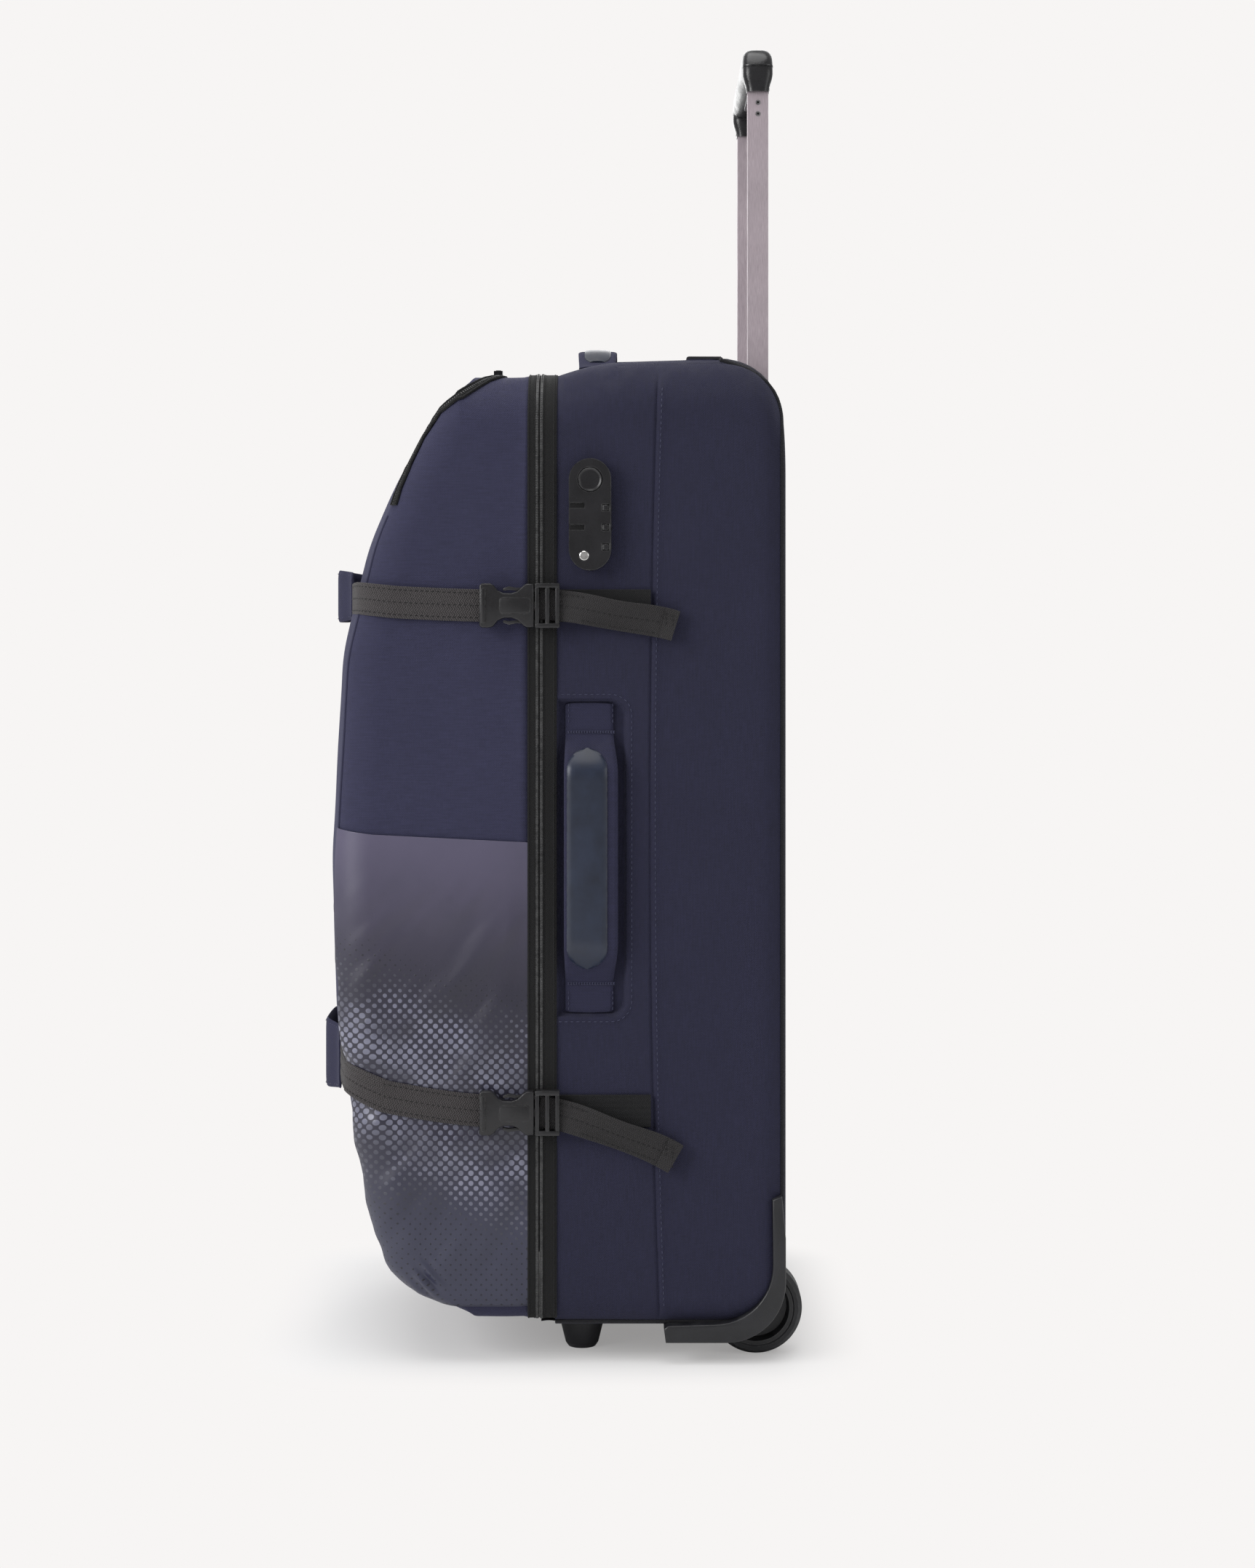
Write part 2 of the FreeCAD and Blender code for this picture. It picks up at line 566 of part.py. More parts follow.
# padded handles across the lid's front
GRAB_CLEAR, GRAB_LIP, GRAB_RISE, GRAB_SEAT = 2, 4, 26, 20


def front_grab(middle, high, reach):
    """A handle whose sewn ends clear the lid and the strap behind it."""
    low = size("lid_base")
    shares = [(z - low) / (zip_top - low) for z in (middle - high / 2, middle, middle + high / 2)]
    seat = min(lid_front(share_up) for share_up in shares) - GRAB_CLEAR
    out, band, end = seat - reach, size("front_grab_band"), size("front_grab_half")
    inner = GRAB_RISE + GRAB_LIP
    face = path_face([(end, seat), (end, seat - GRAB_LIP), (end - GRAB_RISE, out), (GRAB_RISE - end, out),
                      (-end, seat - GRAB_LIP), (-end, seat), (GRAB_SEAT - end, seat), (inner - end, out + band),
                      (end - inner, out + band), (end - GRAB_SEAT, seat)], "XY")
    face.translate(V(0, 0, middle - high / 2))
    return face.extrude(V(0, 0, high))


soft("front_handles", Part.makeCompound([
    front_grab(top - size("upper_grab_drop"), size("upper_grab_high"), size("upper_grab_reach")),
    front_grab(size("lower_grab_up"), size("lower_grab_high"), size("lower_grab_reach"))]))

# ---------------------------------------------------------------- carry handles on the tub
up, out = "bag_top + top_grab_up", "bag_width/2 + grab_out"
keep("top_handle", padded("top_grab", "XZ_Plane", [
    ("-top_grab_half", "bag_top - 2.7"), ("-top_grab_half", "bag_top + 1"), ("-top_grab_half + 28", up),
    ("top_grab_half - 28", up), ("top_grab_half", "bag_top + 1"), ("top_grab_half", "bag_top - 2.7"),
    ("top_grab_half - 24", "bag_top - 2.7"), ("top_grab_half - 36", f"{up} - grab_wall"),
    ("-top_grab_half + 36", f"{up} - grab_wall"), ("-top_grab_half + 24", "bag_top - 2.7")],
    "top_grab_wide", ("0", "top_grab_front + top_grab_wide/2", "0")))
floor = "bag_width/2 - recess_deep + 0.2"
grab_top = "bag_top - recess_top_drop - 2.5"
grab_low = f"{grab_top} - grab_long"
keep("side_handle", padded("side_grab", "XZ_Plane", [
    (floor, grab_top), (f"{floor} + grab_wall", grab_top), (f"{floor} + grab_wall", f"{grab_top} - grab_end"),
    (out, f"{grab_top} - grab_end - 44"), (out, f"{grab_low} + grab_end + 44"),
    (f"{floor} + grab_wall", f"{grab_low} + grab_end"), (f"{floor} + grab_wall", grab_low), (floor, grab_low),
    (floor, f"{grab_low} + grab_end + 4"), (f"{out} - grab_wall", f"{grab_low} + grab_end + 47"),
    (f"{out} - grab_wall", f"{grab_top} - grab_end - 47"), (floor, f"{grab_top} - grab_end - 4")],
    "grab_wide", ("0", "grab_front + grab_wide/2", "0")))

# ---------------------------------------------------------------- buckles and their webbing
SIDES = ("right", "left")
STRAPS = {"upper": ("bag_top - upper_strap_drop", "upper_sag"), "lower": ("lower_strap", "lower_sag")}
under, over = "bag_width/2 + buckle_gap", "bag_width/2 + buckle_gap + buckle_deep"
core = f"({under} + {over})/2"


def both_sides(label, piece, grouped):
    """Keep a right-hand piece and its mirrored twin, as two nodes or ready for a group."""
    twin = mirrored(f"{label}_mirror", piece)
    if grouped:
        return [piece, twin]
    keep(f"{label}_right", piece)
    keep(f"{label}_left", twin)
    return []


sockets, anchors = [], []
for level, (middle, sag) in STRAPS.items():
    shell = block(f"socket_shell_{level}", (under, "socket_front", f"{middle} - buckle_high/2"),
                  (over, "socket_mouth", f"{middle} + buckle_high/2"))
    cavity = block(f"socket_cavity_{level}",
                   (f"{core} - cavity_deep/2", "socket_mouth - prong_long - 3", f"{middle} - cavity_high/2"),
                   (f"{core} + cavity_deep/2", "socket_mouth + 1", f"{middle} + cavity_high/2"))
    bar_slot = block(f"socket_slot_{level}", (f"{under} - 1", "socket_front + 3", f"{middle} - web_width/2 - 1"),
                     (f"{over} - 4", "socket_front + 9", f"{middle} + web_width/2 + 1"))
    sockets += both_sides(f"socket_{level}", cut(f"socket_{level}", shell, cavity, bar_slot), True)
    anchor = block(f"anchor_{level}", ("bag_width/2 + web_gap", "tub_edge + 1", f"{middle} - web_width/2"),
                   ("bag_width/2 + web_gap + web_wall", "plug_back + anchor_long", f"{middle} + web_width/2"))
    anchors += both_sides(f"anchor_{level}", anchor, True)
    frame = block(f"plug_frame_{level}", (under, "socket_mouth + mouth_gap", f"{middle} - buckle_high/2"),
                  (over, "plug_back", f"{middle} + buckle_high/2"))
    windows = [block(f"plug_window_{level}_{i}", (f"{under} - 1", f"socket_mouth + {near}", f"{middle} - window_high/2"),
                     (f"{over} + 1", f"socket_mouth + {near} + window_wide", f"{middle} + window_high/2"))
               for i, near in enumerate((4.5, 12))]
    prong = block(f"plug_prong_{level}",
                  (f"{core} - prong_deep/2", "socket_mouth - prong_long", f"{middle} - prong_high/2"),
                  (f"{core} + prong_deep/2", "socket_mouth + 2", f"{middle} + prong_high/2"))
    tail = padded(f"tail_{level}", "YZ_Plane", [
        ("plug_back - 2", "web_width/2"), ("plug_back - 2", "-web_width/2"),
        ("plug_back + tail_long * 0.5", f"-web_width/2 - {sag} * 0.35"),
        ("plug_back + tail_long - 8", f"-web_width/2 - {sag}"),
        ("plug_back + tail_long", f"web_width/2 - {sag}"),
        ("plug_back + tail_long * 0.5", f"web_width/2 - {sag} * 0.35")],
        "web_wall", (f"{under} + 3", "0", middle))
    plug = fuse(f"plug_{level}", cut(f"plug_ladder_{level}", frame, *windows), prong, tail)
    both_sides(f"buckle_plug_{level}", plug, False)
keep("buckle_sockets", group("all_sockets", *sockets))
keep("strap_anchors", group("all_anchors", *anchors))


# ---------------------------------------------------------------- trolley
def column(name, grow, low, high):
    """An upright block round a post's line, larger than the post by grow on each side."""
    return block(name, (f"post_half - post_wide/2 - ({grow})", f"post_line - post_deep/2 - ({grow})", low),
                 (f"post_half + post_wide/2 + ({grow})", f"post_line + post_deep/2 + ({grow})", high))


tube_high = "bag_top - tube_drop"
pin_level = f"{tube_high} - post_overlap + 8"
outer = cut("outer_tube", column("tube_out", "post_gap + tube_wall", "tube_low", tube_high),
            column("tube_in", "post_gap", "tube_low - 1", f"{tube_high} + 1"),
            *[rod(f"pin_hole_{i}", ("post_half", "post_line", level), (1, 0, 0), "pin_radius + 0.5", "post_wide")
              for i, level in enumerate((pin_level, f"{pin_level} - handle_travel"))])
keep("outer_tubes", group("both_outer_tubes", *both_sides("outer_tube", outer, True)))
bracket = cut("bracket", column("bracket_out", "post_gap + tube_wall + 2.6", "tube_low", "tube_low + 24"),
              column("bracket_in", "post_gap + tube_wall", "tube_low - 1", "tube_low + 25"))
keep("tube_brackets", group("both_brackets", *both_sides("bracket", bracket, True)))
bezel = tub_solid(-BEZEL_PROUD).common(bezel_room)
bezel = bezel.cut(room((post_x - tube_x, post_y - tube_y, 0), (post_x + tube_x, post_y + tube_y, tube_top)))
gap_x, gap_y = tube_x - size("tube_wall"), tube_y - size("tube_wall")
bezel = bezel.cut(room((post_x - gap_x, post_y - gap_y, 0), (post_x + gap_x, post_y + gap_y, FAR)))
soft("trolley_bezels", Part.makeCompound([bezel, bezel.mirror(V(), V(1, 0, 0))]))

leg_end, bar_low = "grip_top - leg_high", "grip_top - grip_high"
post_top = "grip_top - 20"
rivet_levels = [f"{leg_end} - {drop}" for drop in (8, 17)]
rivet_holes = [rod(f"rivet_hole_{i}", ("post_half", "post_line", level), (1, 0, 0), "2.05", "post_wide")
               for i, level in enumerate(rivet_levels)]
post = cut("post", column("post_out", "0", f"{tube_high} - post_overlap", post_top),
           column("post_in", "-post_wall", f"{tube_high} - post_overlap - 1", f"{post_top} + 1"),
           rod("pin_bore", ("post_half", "post_line", pin_level), (1, 0, 0), "pin_radius + 0.1", "post_wide"),
           *rivet_holes)
keep("inner_tubes", group("both_posts", *both_sides("post", post, True)))
rivets = []
for i, level in enumerate(rivet_levels):
    stem = ("post_half + post_wide/2 - post_wall", "post_line", level)
    rivet = cut(f"rivet_{i}", rod(f"rivet_out_{i}", stem, (1, 0, 0), "2", "post_wall + 0.2"),
                rod(f"rivet_in_{i}", stem, (1, 0, 0), "1", "post_wall + 1"))
    rivets += both_sides(f"rivet_{i}", rivet, True)
keep("grip_rivets", group("all_rivets", *rivets))

reach = "post_half + leg_wide/2"
bar = padded("grip_bar", "XZ_Plane", [
    (f"-({reach})", leg_end), (f"-({reach})", "grip_top - 8"), (f"8 - ({reach})", "grip_top"),
    (f"{reach} - 8", "grip_top"), (reach, "grip_top - 8"), (reach, leg_end), (f"{reach} - leg_wide", leg_end),
    (f"{reach} - leg_wide", f"{bar_low} - 6"), (f"{reach} - leg_wide - 6", bar_low),
    (f"6 + leg_wide - ({reach})", bar_low), (f"leg_wide - ({reach})", f"{bar_low} - 6"),
    (f"leg_wide - ({reach})", leg_end)], "grip_deep", ("0", "post_line", "0"))
post_hole = column("grip_hole", "0.02", f"{leg_end} - 1", post_top)
channel = block("grip_channel", ("-post_half - 4", "post_line - 4", post_top),
                ("post_half + 4", "post_line + 4", f"{post_top} + 12"))
button_hole = block("grip_window", ("-button_long/2 - 0.4", "post_line - button_deep/2 - 0.4", f"{bar_low} - 1"),
                    ("button_long/2 + 0.4", "post_line + button_deep/2 + 0.4", f"{post_top} + 8"))
keep("grip", cut("grip_shell", bar, post_hole, mirrored("grip_hole_mirror", post_hole), channel, button_hole))
key = block("button_key", ("-button_long/2", "post_line - button_deep/2", f"{bar_low} - 4"),
            ("button_long/2", "post_line + button_deep/2", f"{post_top} + 2.5"))
keep("grip_button", key)
yoke = block("yoke", ("-post_half - 1.5", "post_line - 2.5", f"{post_top} + 2.5"),
             ("post_half + 1.5", "post_line + 2.5", f"{post_top} + 6"))
pull = block("pull_rod", ("post_half - 1.5", "post_line - 1.5", f"{pin_level} + pin_radius + 2"),
             ("post_half + 1.5", "post_line + 1.5", f"{post_top} + 3"))
keep("pull_rods", fuse("pull_linkage", yoke, pull, mirrored("pull_mirror", pull)))
pin = rod("pin", ("post_half - pin_inside", "post_line", pin_level), (1, 0, 0), "pin_radius",
          "post_wide/2 + pin_inside")
both_sides("lock_pin", pin, False)

# ---------------------------------------------------------------- wheels, corners and feet
soft("wheel_housing_right", housing)
soft("wheel_housing_left", housing.mirror(V(), V(1, 0, 0)))
inner_wall = "wheel_middle - wheel_wide/2 - axle_radius - well_wall"
axle = rod("axle", (inner_wall, "wheel_line", "wheel_radius"), (1, 0, 0), "axle_radius",
           "wheel_wide + 2 * axle_radius + 2 * well_wall")
keep("axles", group("both_axles", *both_sides("axle", axle, True)))
centre = ("wheel_middle", "wheel_line", "wheel_radius")
bore, rim = "axle_radius + axle_gap", "wheel_radius - tyre_thick"
hub = turned("wheel_hub", [
    (bore, "-wheel_wide/2"), ("axle_radius + 5", "-wheel_wide/2"), ("axle_radius + 6", "-4"), (f"{rim} - 5", "-4"),
    (f"{rim} - 3", "1 - wheel_wide/2"), (rim, "1 - wheel_wide/2"), (rim, "wheel_wide/2 - 1"),
    (f"{rim} - 3", "wheel_wide/2 - 1"), (f"{rim} - 5", "4"), ("axle_radius + 6", "4"),
    ("axle_radius + 5", "wheel_wide/2"), (bore, "wheel_wide/2")], centre, (1, 0, 0))
both_sides("wheel_hub", hub, False)
tyre = turned("wheel_tyre", [
    (rim, "1 - wheel_wide/2"), (f"{rim} + 1", "-wheel_wide/2"), ("wheel_radius - 3", "-wheel_wide/2"),
    ("wheel_radius", "4 - wheel_wide/2"), ("wheel_radius", "wheel_wide/2 - 4"), ("wheel_radius - 3", "wheel_wide/2"),
    (f"{rim} + 1", "wheel_wide/2"), (rim, "wheel_wide/2 - 1")], centre, (1, 0, 0))
both_sides("wheel_tyre", tyre, False)
foot = turned("foot", [
    ("0", "0"), ("foot_radius - 2", "0"), ("foot_radius", "3"), ("foot_radius + 5", "bag_base - 3"),
    ("foot_radius + 5", "bag_base"), ("0", "bag_base")], ("foot_half", "foot_line", "0"), (0, 0, 1))
keep("front_feet", group("both_feet", *both_sides("foot", foot, True)))

# ---------------------------------------------------------------- lock
face_x, lock_z = "bag_width/2", "bag_top - lock_drop"
lock_y = "lock_front + lock_wide/2"
end_z = [f"{lock_z} + {sign} * (lock_high/2 - lock_wide/2)" for sign in (1, -1)]
case = fuse("lock_body", block("lock_middle", (face_x, "lock_front", end_z[1]),
                               (f"{face_x} + lock_deep", "lock_front + lock_wide", end_z[0])),
            *[rod(f"lock_end_{i}", (face_x, lock_y, level), (1, 0, 0), "lock_wide/2", "lock_deep")
              for i, level in enumerate(end_z)])
dial_x = f"{face_x} + lock_deep - dial_radius + 0.3"
dial_y = "lock_front + lock_wide - dial_radius + 0.6"
dial_z = [f"{lock_z} - 10 + {step} * dial_pitch" for step in (1, 0, -1)]
dial_slots = [rod(f"dial_slot_{i}", (dial_x, dial_y, f"{level} - dial_wall/2 - dial_gap"), (0, 0, 1),
                  "dial_radius + dial_gap", "dial_wall + 2 * dial_gap") for i, level in enumerate(dial_z)]
docks = [block(f"dock_{i}", (f"{face_x} + 2.5", "lock_front - 1", f"{level} - 2"),
               (f"{face_x} + lock_deep + 1", "lock_front + 12", f"{level} + 2")) for i, level in
         enumerate((f"{lock_z} + 6.8", f"{lock_z} - 10"))]
barrel_y, barrel_z = f"{lock_y} - 4.5", f"{end_z[1]} - 5"
case = cut("lock_hollowed", case, *dial_slots, *docks,
           rod("release_bore", (f"{face_x} + 4", lock_y, end_z[0]), (1, 0, 0), "release_radius + 0.3", "lock_deep"),
           rod("barrel_bore", (f"{face_x} + 2", barrel_y, barrel_z), (1, 0, 0), "barrel_radius + 0.3", "lock_deep"))
spindle = rod("dial_spindle", (dial_x, dial_y, f"{dial_z[2]} - dial_wall/2 - 2"), (0, 0, 1), "spindle_radius",
              "2 * dial_pitch + dial_wall + 4")
keep("lock_case", fuse("lock_case_body", case, spindle))
for name, level in zip(("top", "middle", "low"), dial_z):
    bore_r = "spindle_radius + 0.05"
    keep(f"dial_{name}", turned(f"number_dial_{name}", [
        (bore_r, "-dial_wall/2"), ("dial_radius - 0.4", "-dial_wall/2"), ("dial_radius", "0.4 - dial_wall/2"),
        ("dial_radius", "dial_wall/2 - 0.4"), ("dial_radius - 0.4", "dial_wall/2"), (bore_r, "dial_wall/2")],
        (dial_x, dial_y, level), (0, 0, 1)))
keep("lock_release", turned("release_disc", [
    ("0", "release_travel + 0.6"), ("release_radius", "release_travel + 0.6"), ("release_radius", "lock_deep - 4.4"),
    ("release_radius - 0.8", "lock_deep - 3.6"), ("release_radius - 2", "lock_deep - 4.2"), ("0", "lock_deep - 4.2")],
    (f"{face_x} + 4", lock_y, end_z[0]), (1, 0, 0)))
keep("key_barrel", turned("barrel", [
    ("0", "0.3"), ("barrel_radius", "0.3"), ("barrel_radius", "lock_deep - 1.8"),
    ("barrel_radius - 0.6", "lock_deep - 1.4"), ("0", "lock_deep - 1.4")], (f"{face_x} + 2", barrel_y, barrel_z), (1, 0, 0)))

# ---------------------------------------------------------------- zip sliders
skin_x = "bag_width/2 + tape_proud + coil_proud + 0.4"
SLIDER_LONG, TAB_LONG = 14, 34
for name, level in (("upper", "bag_top - 260"), ("lower", "bag_top - 310")):
    car = block(f"slider_car_{name}", (f"-({skin_x}) - 4", "zip_line - 5", f"{level} - {SLIDER_LONG}/2"),
                (f"-({skin_x})", "zip_line + 5", f"{level} + {SLIDER_LONG}/2"))
    tab = block(f"slider_tab_{name}", (f"-({skin_x}) - 5.2", "zip_line - 2.5", f"{level} - {TAB_LONG}"),
                (f"-({skin_x}) - 3.6", "zip_line + 2.5", f"{level} + 3"))
    keep(f"zip_slider_{name}", fuse(f"slider_{name}", car, tab))
pocket_car = block("pocket_car", ("bag_width/2 - top_radius - 14", "-47.5", "zip_top + 1.3"),
                   ("bag_width/2 - top_radius - 4", "-40.5", "zip_top + 4.8"))
pocket_tab = block("pocket_tab", ("bag_width/2 - top_radius - 36", "-46", "zip_top + 4.2"),
                   ("bag_width/2 - top_radius - 8", "-42", "zip_top + 5.6"))
keep("pocket_slider", fuse("pocket_pull", pocket_car, pocket_tab))

# ---------------------------------------------------------------- check and write
doc.recompute()
faults = [item.Label for item in doc.Objects if {"Invalid", "Error"} & set(item.State)]
faults += [label for label, item in nodes.items() if item.Shape.isNull() or not item.Shape.isValid()
           or not item.Shape.Solids or item.Label != label]
if faults:
    raise RuntimeError(f"not built: {faults}")
os.makedirs("parts", exist_ok=True)
for label, item in nodes.items():
    item.Shape.exportStep(f"parts/{label}.step")
print(f"{len(nodes)} sub-parts written")
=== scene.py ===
import math
import random

import bmesh
import bpy
from mathutils import Matrix, Vector, noise
from mathutils.bvhtree import BVHTree


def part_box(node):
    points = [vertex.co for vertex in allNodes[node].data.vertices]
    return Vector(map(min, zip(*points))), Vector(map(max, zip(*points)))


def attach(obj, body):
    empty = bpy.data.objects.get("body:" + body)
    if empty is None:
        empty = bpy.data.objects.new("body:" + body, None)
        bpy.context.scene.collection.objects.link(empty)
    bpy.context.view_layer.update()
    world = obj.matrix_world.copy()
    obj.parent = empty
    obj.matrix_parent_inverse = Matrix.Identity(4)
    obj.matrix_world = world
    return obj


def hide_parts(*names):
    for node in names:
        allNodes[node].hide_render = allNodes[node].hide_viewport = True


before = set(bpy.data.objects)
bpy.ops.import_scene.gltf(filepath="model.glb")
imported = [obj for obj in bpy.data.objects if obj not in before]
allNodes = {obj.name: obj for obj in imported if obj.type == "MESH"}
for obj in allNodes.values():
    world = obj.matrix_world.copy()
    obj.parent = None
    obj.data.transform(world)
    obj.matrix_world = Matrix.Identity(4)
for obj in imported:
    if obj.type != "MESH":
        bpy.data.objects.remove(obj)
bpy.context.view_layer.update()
random.seed(7)
mm = 0.001   # every size below is in millimetres until it reaches a mesh
cloth = {"shell": 2.6, "back": 2.0, "lining": 0.6, "film": 0.7, "strip": 1.0, "weld": 0.05, "crease": 38}
print("frame loaded")


def span(node):
    low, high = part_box(node)
    return low / mm, high / mm


def clamp(value, low=0.0, high=1.0):
    return max(low, min(high, value))


def ease(low, high, value):
    step = clamp((value - low) / (high - low))
    return step * step * (3 - 2 * step)


def mix(first, second, share):
    return first + (second - first) * share


def along(marks, value):
    # a smooth line through (place, size) marks
    if value <= marks[0][0]:
        return marks[0][1]
    for before, after in zip(marks, marks[1:]):
        if value <= after[0]:
            return mix(before[1], after[1], (value - before[0]) / (after[0] - before[0]))
    return marks[-1][1]


def ripple(place, size, turn=0.0):
    # gentle unevenness of cloth, about -1 to 1
    return noise.noise(Vector(place) / size + Vector((turn, turn * 1.7, 0)))


def stops(start, end, step, *fine):
    # places from start to end, closer together inside the fine stretches (low, high, step)
    places = [start]
    while places[-1] < end - 1e-6:
        here = places[-1]
        pace = min([step] + [part[2] for part in fine if part[0] - step <= here < part[1]])
        for part in fine:
            if here < part[0] - 1e-6 < here + pace:
                pace = part[0] - here
        places.append(min(end, here + pace))
    return places


def newShape():
    bm = bmesh.new()
    bm.loops.layers.uv.new("UVMap")
    return bm


def boxUv(bm, faces=None):
    # lays the weave flat on each face, in metres
    uvLayer = bm.loops.layers.uv["UVMap"]
    for face in faces or bm.faces:
        face.normal_update()
        size = [abs(part) for part in face.normal]
        first, second = {0: (1, 2), 1: (0, 2), 2: (0, 1)}[size.index(max(size))]
        for loop in face.loops:
            loop[uvLayer].uv = (loop.vert.co[first], loop.vert.co[second])


def meshPiece(name, bm, material, body, smooth=True, flatUv=True):
    if flatUv:
        boxUv(bm)
    mesh = bpy.data.meshes.new(name)
    bm.to_mesh(mesh)
    bm.free()
    piece = bpy.data.objects.new(name, mesh)
    bpy.context.collection.objects.link(piece)
    mesh.materials.append(material)
    for face in mesh.polygons:
        face.use_smooth = smooth
    if smooth:
        mesh.set_sharp_from_angle(angle=math.radians(cloth["crease"]))
    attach(piece, body)
    return piece


def addModifier(piece, kind, **values):
    modifier = piece.modifiers.new(kind.title(), kind)
    for key, value in values.items():
        setattr(modifier, key, value)
    return modifier


def addGrid(bm, columns, rows, place, uvPlace=None):
    # a sheet whose corner (i, j) stands at place(columns[i], rows[j])
    uvLayer = bm.loops.layers.uv["UVMap"]
    made = bmesh.ops.create_grid(bm, x_segments=len(columns) - 1, y_segments=len(rows) - 1,
                                 size=0.5)["verts"]
    left, low = min(v.co.x for v in made), min(v.co.y for v in made)
    right, high = max(v.co.x for v in made), max(v.co.y for v in made)
    spot = {}
    for vert in made:
        i = round((vert.co.x - left) / (right - left) * (len(columns) - 1))
        j = round((vert.co.y - low) / (high - low) * (len(rows) - 1))
        spot[vert] = (columns[i], rows[j])
    for vert in made:
        vert.co = Vector(place(*spot[vert])) * mm
    faces = {face for vert in made for face in vert.link_faces}
    for face in faces:
        for loop in face.loops:
            loop[uvLayer].uv = Vector((uvPlace or (lambda a, b: (a, b)))(*spot[loop.vert])) * mm
    return made, faces


def outwards(bm, centre):
    # turns an open sheet so that its face looks away from the centre
    bm.normal_update()
    middle = Vector(centre) * mm
    facing = sum(face.normal.dot(face.calc_center_median() - middle) * face.calc_area() for face in bm.faces)
    if facing < 0:
        bmesh.ops.reverse_faces(bm, faces=bm.faces)
    bm.normal_update()


def addSweep(bm, path, section):
    # carries a closed section of (sideways, upwards) points along (point, up[, (wide, thick)]) stations
    uvLayer = bm.loops.layers.uv["UVMap"]
    points = [Vector(station[0]) for station in path]
    rows = list(range(len(path)))
    girth, length = [0.0], [0.0]
    ring = list(section) + [section[0]]
    for before, after in zip(ring, ring[1:]):
        girth.append(girth[-1] + math.dist(before, after))
    for row in rows[1:]:
        length.append(length[-1] + (points[row] - points[row - 1]).length)
    frames = []
    for row in rows:
        tangent = (points[min(row + 1, len(path) - 1)] - points[max(row - 1, 0)]).normalized()
        up = Vector(path[row][1])
        up = (up - tangent * up.dot(tangent)).normalized()
        scale = path[row][2] if len(path[row]) > 2 else (1, 1)
        frames.append((points[row], tangent.cross(up), up, scale))

    def place(column, row):
        point, side, up, scale = frames[row]
        sideways, upwards = ring[column]
        return point + side * sideways * scale[0] + up * upwards * scale[1]

    made, faces = addGrid(bm, list(range(len(ring))), rows, place,
                          lambda column, row: (girth[column], length[row]))
    bmesh.ops.remove_doubles(bm, verts=made, dist=0.004 * mm)
    made = [v for v in made if v.is_valid]
    rim = {edge for vert in made for edge in vert.link_edges if edge.is_boundary}
    caps = bmesh.ops.holes_fill(bm, edges=list(rim), sides=0)["faces"]
    for face in caps:
        for loop in face.loops:
            loop[uvLayer].uv = (loop.vert.co.y, loop.vert.co.z)
    faces |= set(caps)
    bmesh.ops.recalc_face_normals(bm, faces=[f for f in faces if f.is_valid])
    return made


def flatSection(wide, thick, rounding=0.45):
    # the section of a strap: flat with soft edges
    a, b, c = wide / 2, thick, thick * rounding
    return [(-a, c), (-a + c, 0), (0, 0), (a - c, 0), (a, c), (a, b - c), (a - c, b), (a / 2, b), (0, b),
            (-a / 2, b), (-a + c, b), (-a, b - c)]


def roundSection(radius, sides=8, squash=1.0):
    return [(radius * math.cos(2 * math.pi * i / sides), radius * squash * math.sin(2 * math.pi * i / sides))
            for i in range(sides)]


def addBlock(bm, low, high, soft=0.6, segments=2):
    made = bmesh.ops.create_cube(bm, size=1.0)["verts"]
    low, high = Vector(low), Vector(high)
    for vert in made:
        vert.co = Vector([(low[i] + high[i]) / 2 + vert.co[i] * (high[i] - low[i]) for i in range(3)]) * mm
    if soft:
        edges = {edge for vert in made for edge in vert.link_edges}
        bmesh.ops.bevel(bm, geom=list(edges), offset=soft * mm, segments=segments, profile=0.5,
                        affect="EDGES", material=-1)


def addPlate(bm, points, low, high, facing="x", soft=0.5, segments=2):
    # a flat outline of (across, up) points given thickness from low to high along one axis
    axes = {"x": (1, 2, 0), "y": (0, 2, 1), "z": (0, 1, 2)}[facing]
    verts = []
    for across, up in points:
        co = [0, 0, 0]
        co[axes[0]], co[axes[1]], co[axes[2]] = across * mm, up * mm, low * mm
        verts.append(bm.verts.new(co))
    face = bm.faces.new(verts)
    raised = bmesh.ops.extrude_face_region(bm, geom=[face])["geom"]
    lift = [0, 0, 0]
    lift[axes[2]] = (high - low) * mm
    top = [part for part in raised if isinstance(part, bmesh.types.BMVert)]
    bmesh.ops.translate(bm, verts=top, vec=lift)
    whole = verts + top
    faces = list({face for vert in whole for face in vert.link_faces})
    bmesh.ops.recalc_face_normals(bm, faces=faces)
    if soft:
        caps = [f for f in faces if len(f.verts) == len(points)]
        rims = {edge for cap in caps for edge in cap.edges}
        bmesh.ops.bevel(bm, geom=list(rims), offset=soft * mm, segments=segments, profile=0.5,
                        affect="EDGES", material=-1)


def roundedOutline(low, high, radius, steps=6):
    # a rectangle with round corners, as (across, up) points
    points = []
    for corner, (a, b, start) in enumerate(((high[0], high[1], 0), (low[0], high[1], 90),
                                            (low[0], low[1], 180), (high[0], low[1], 270))):
        r = radius[corner] if isinstance(radius, (list, tuple)) else radius
        a += -r if corner in (0, 3) else r
        b += -r if corner in (0, 1) else r
        if r == 0:
            points.append((a, b))
            continue
        for i in range(steps + 1):
            angle = math.radians(start + 90 * i / steps)
            points.append((a + r * math.cos(angle), b + r * math.sin(angle)))
    return points


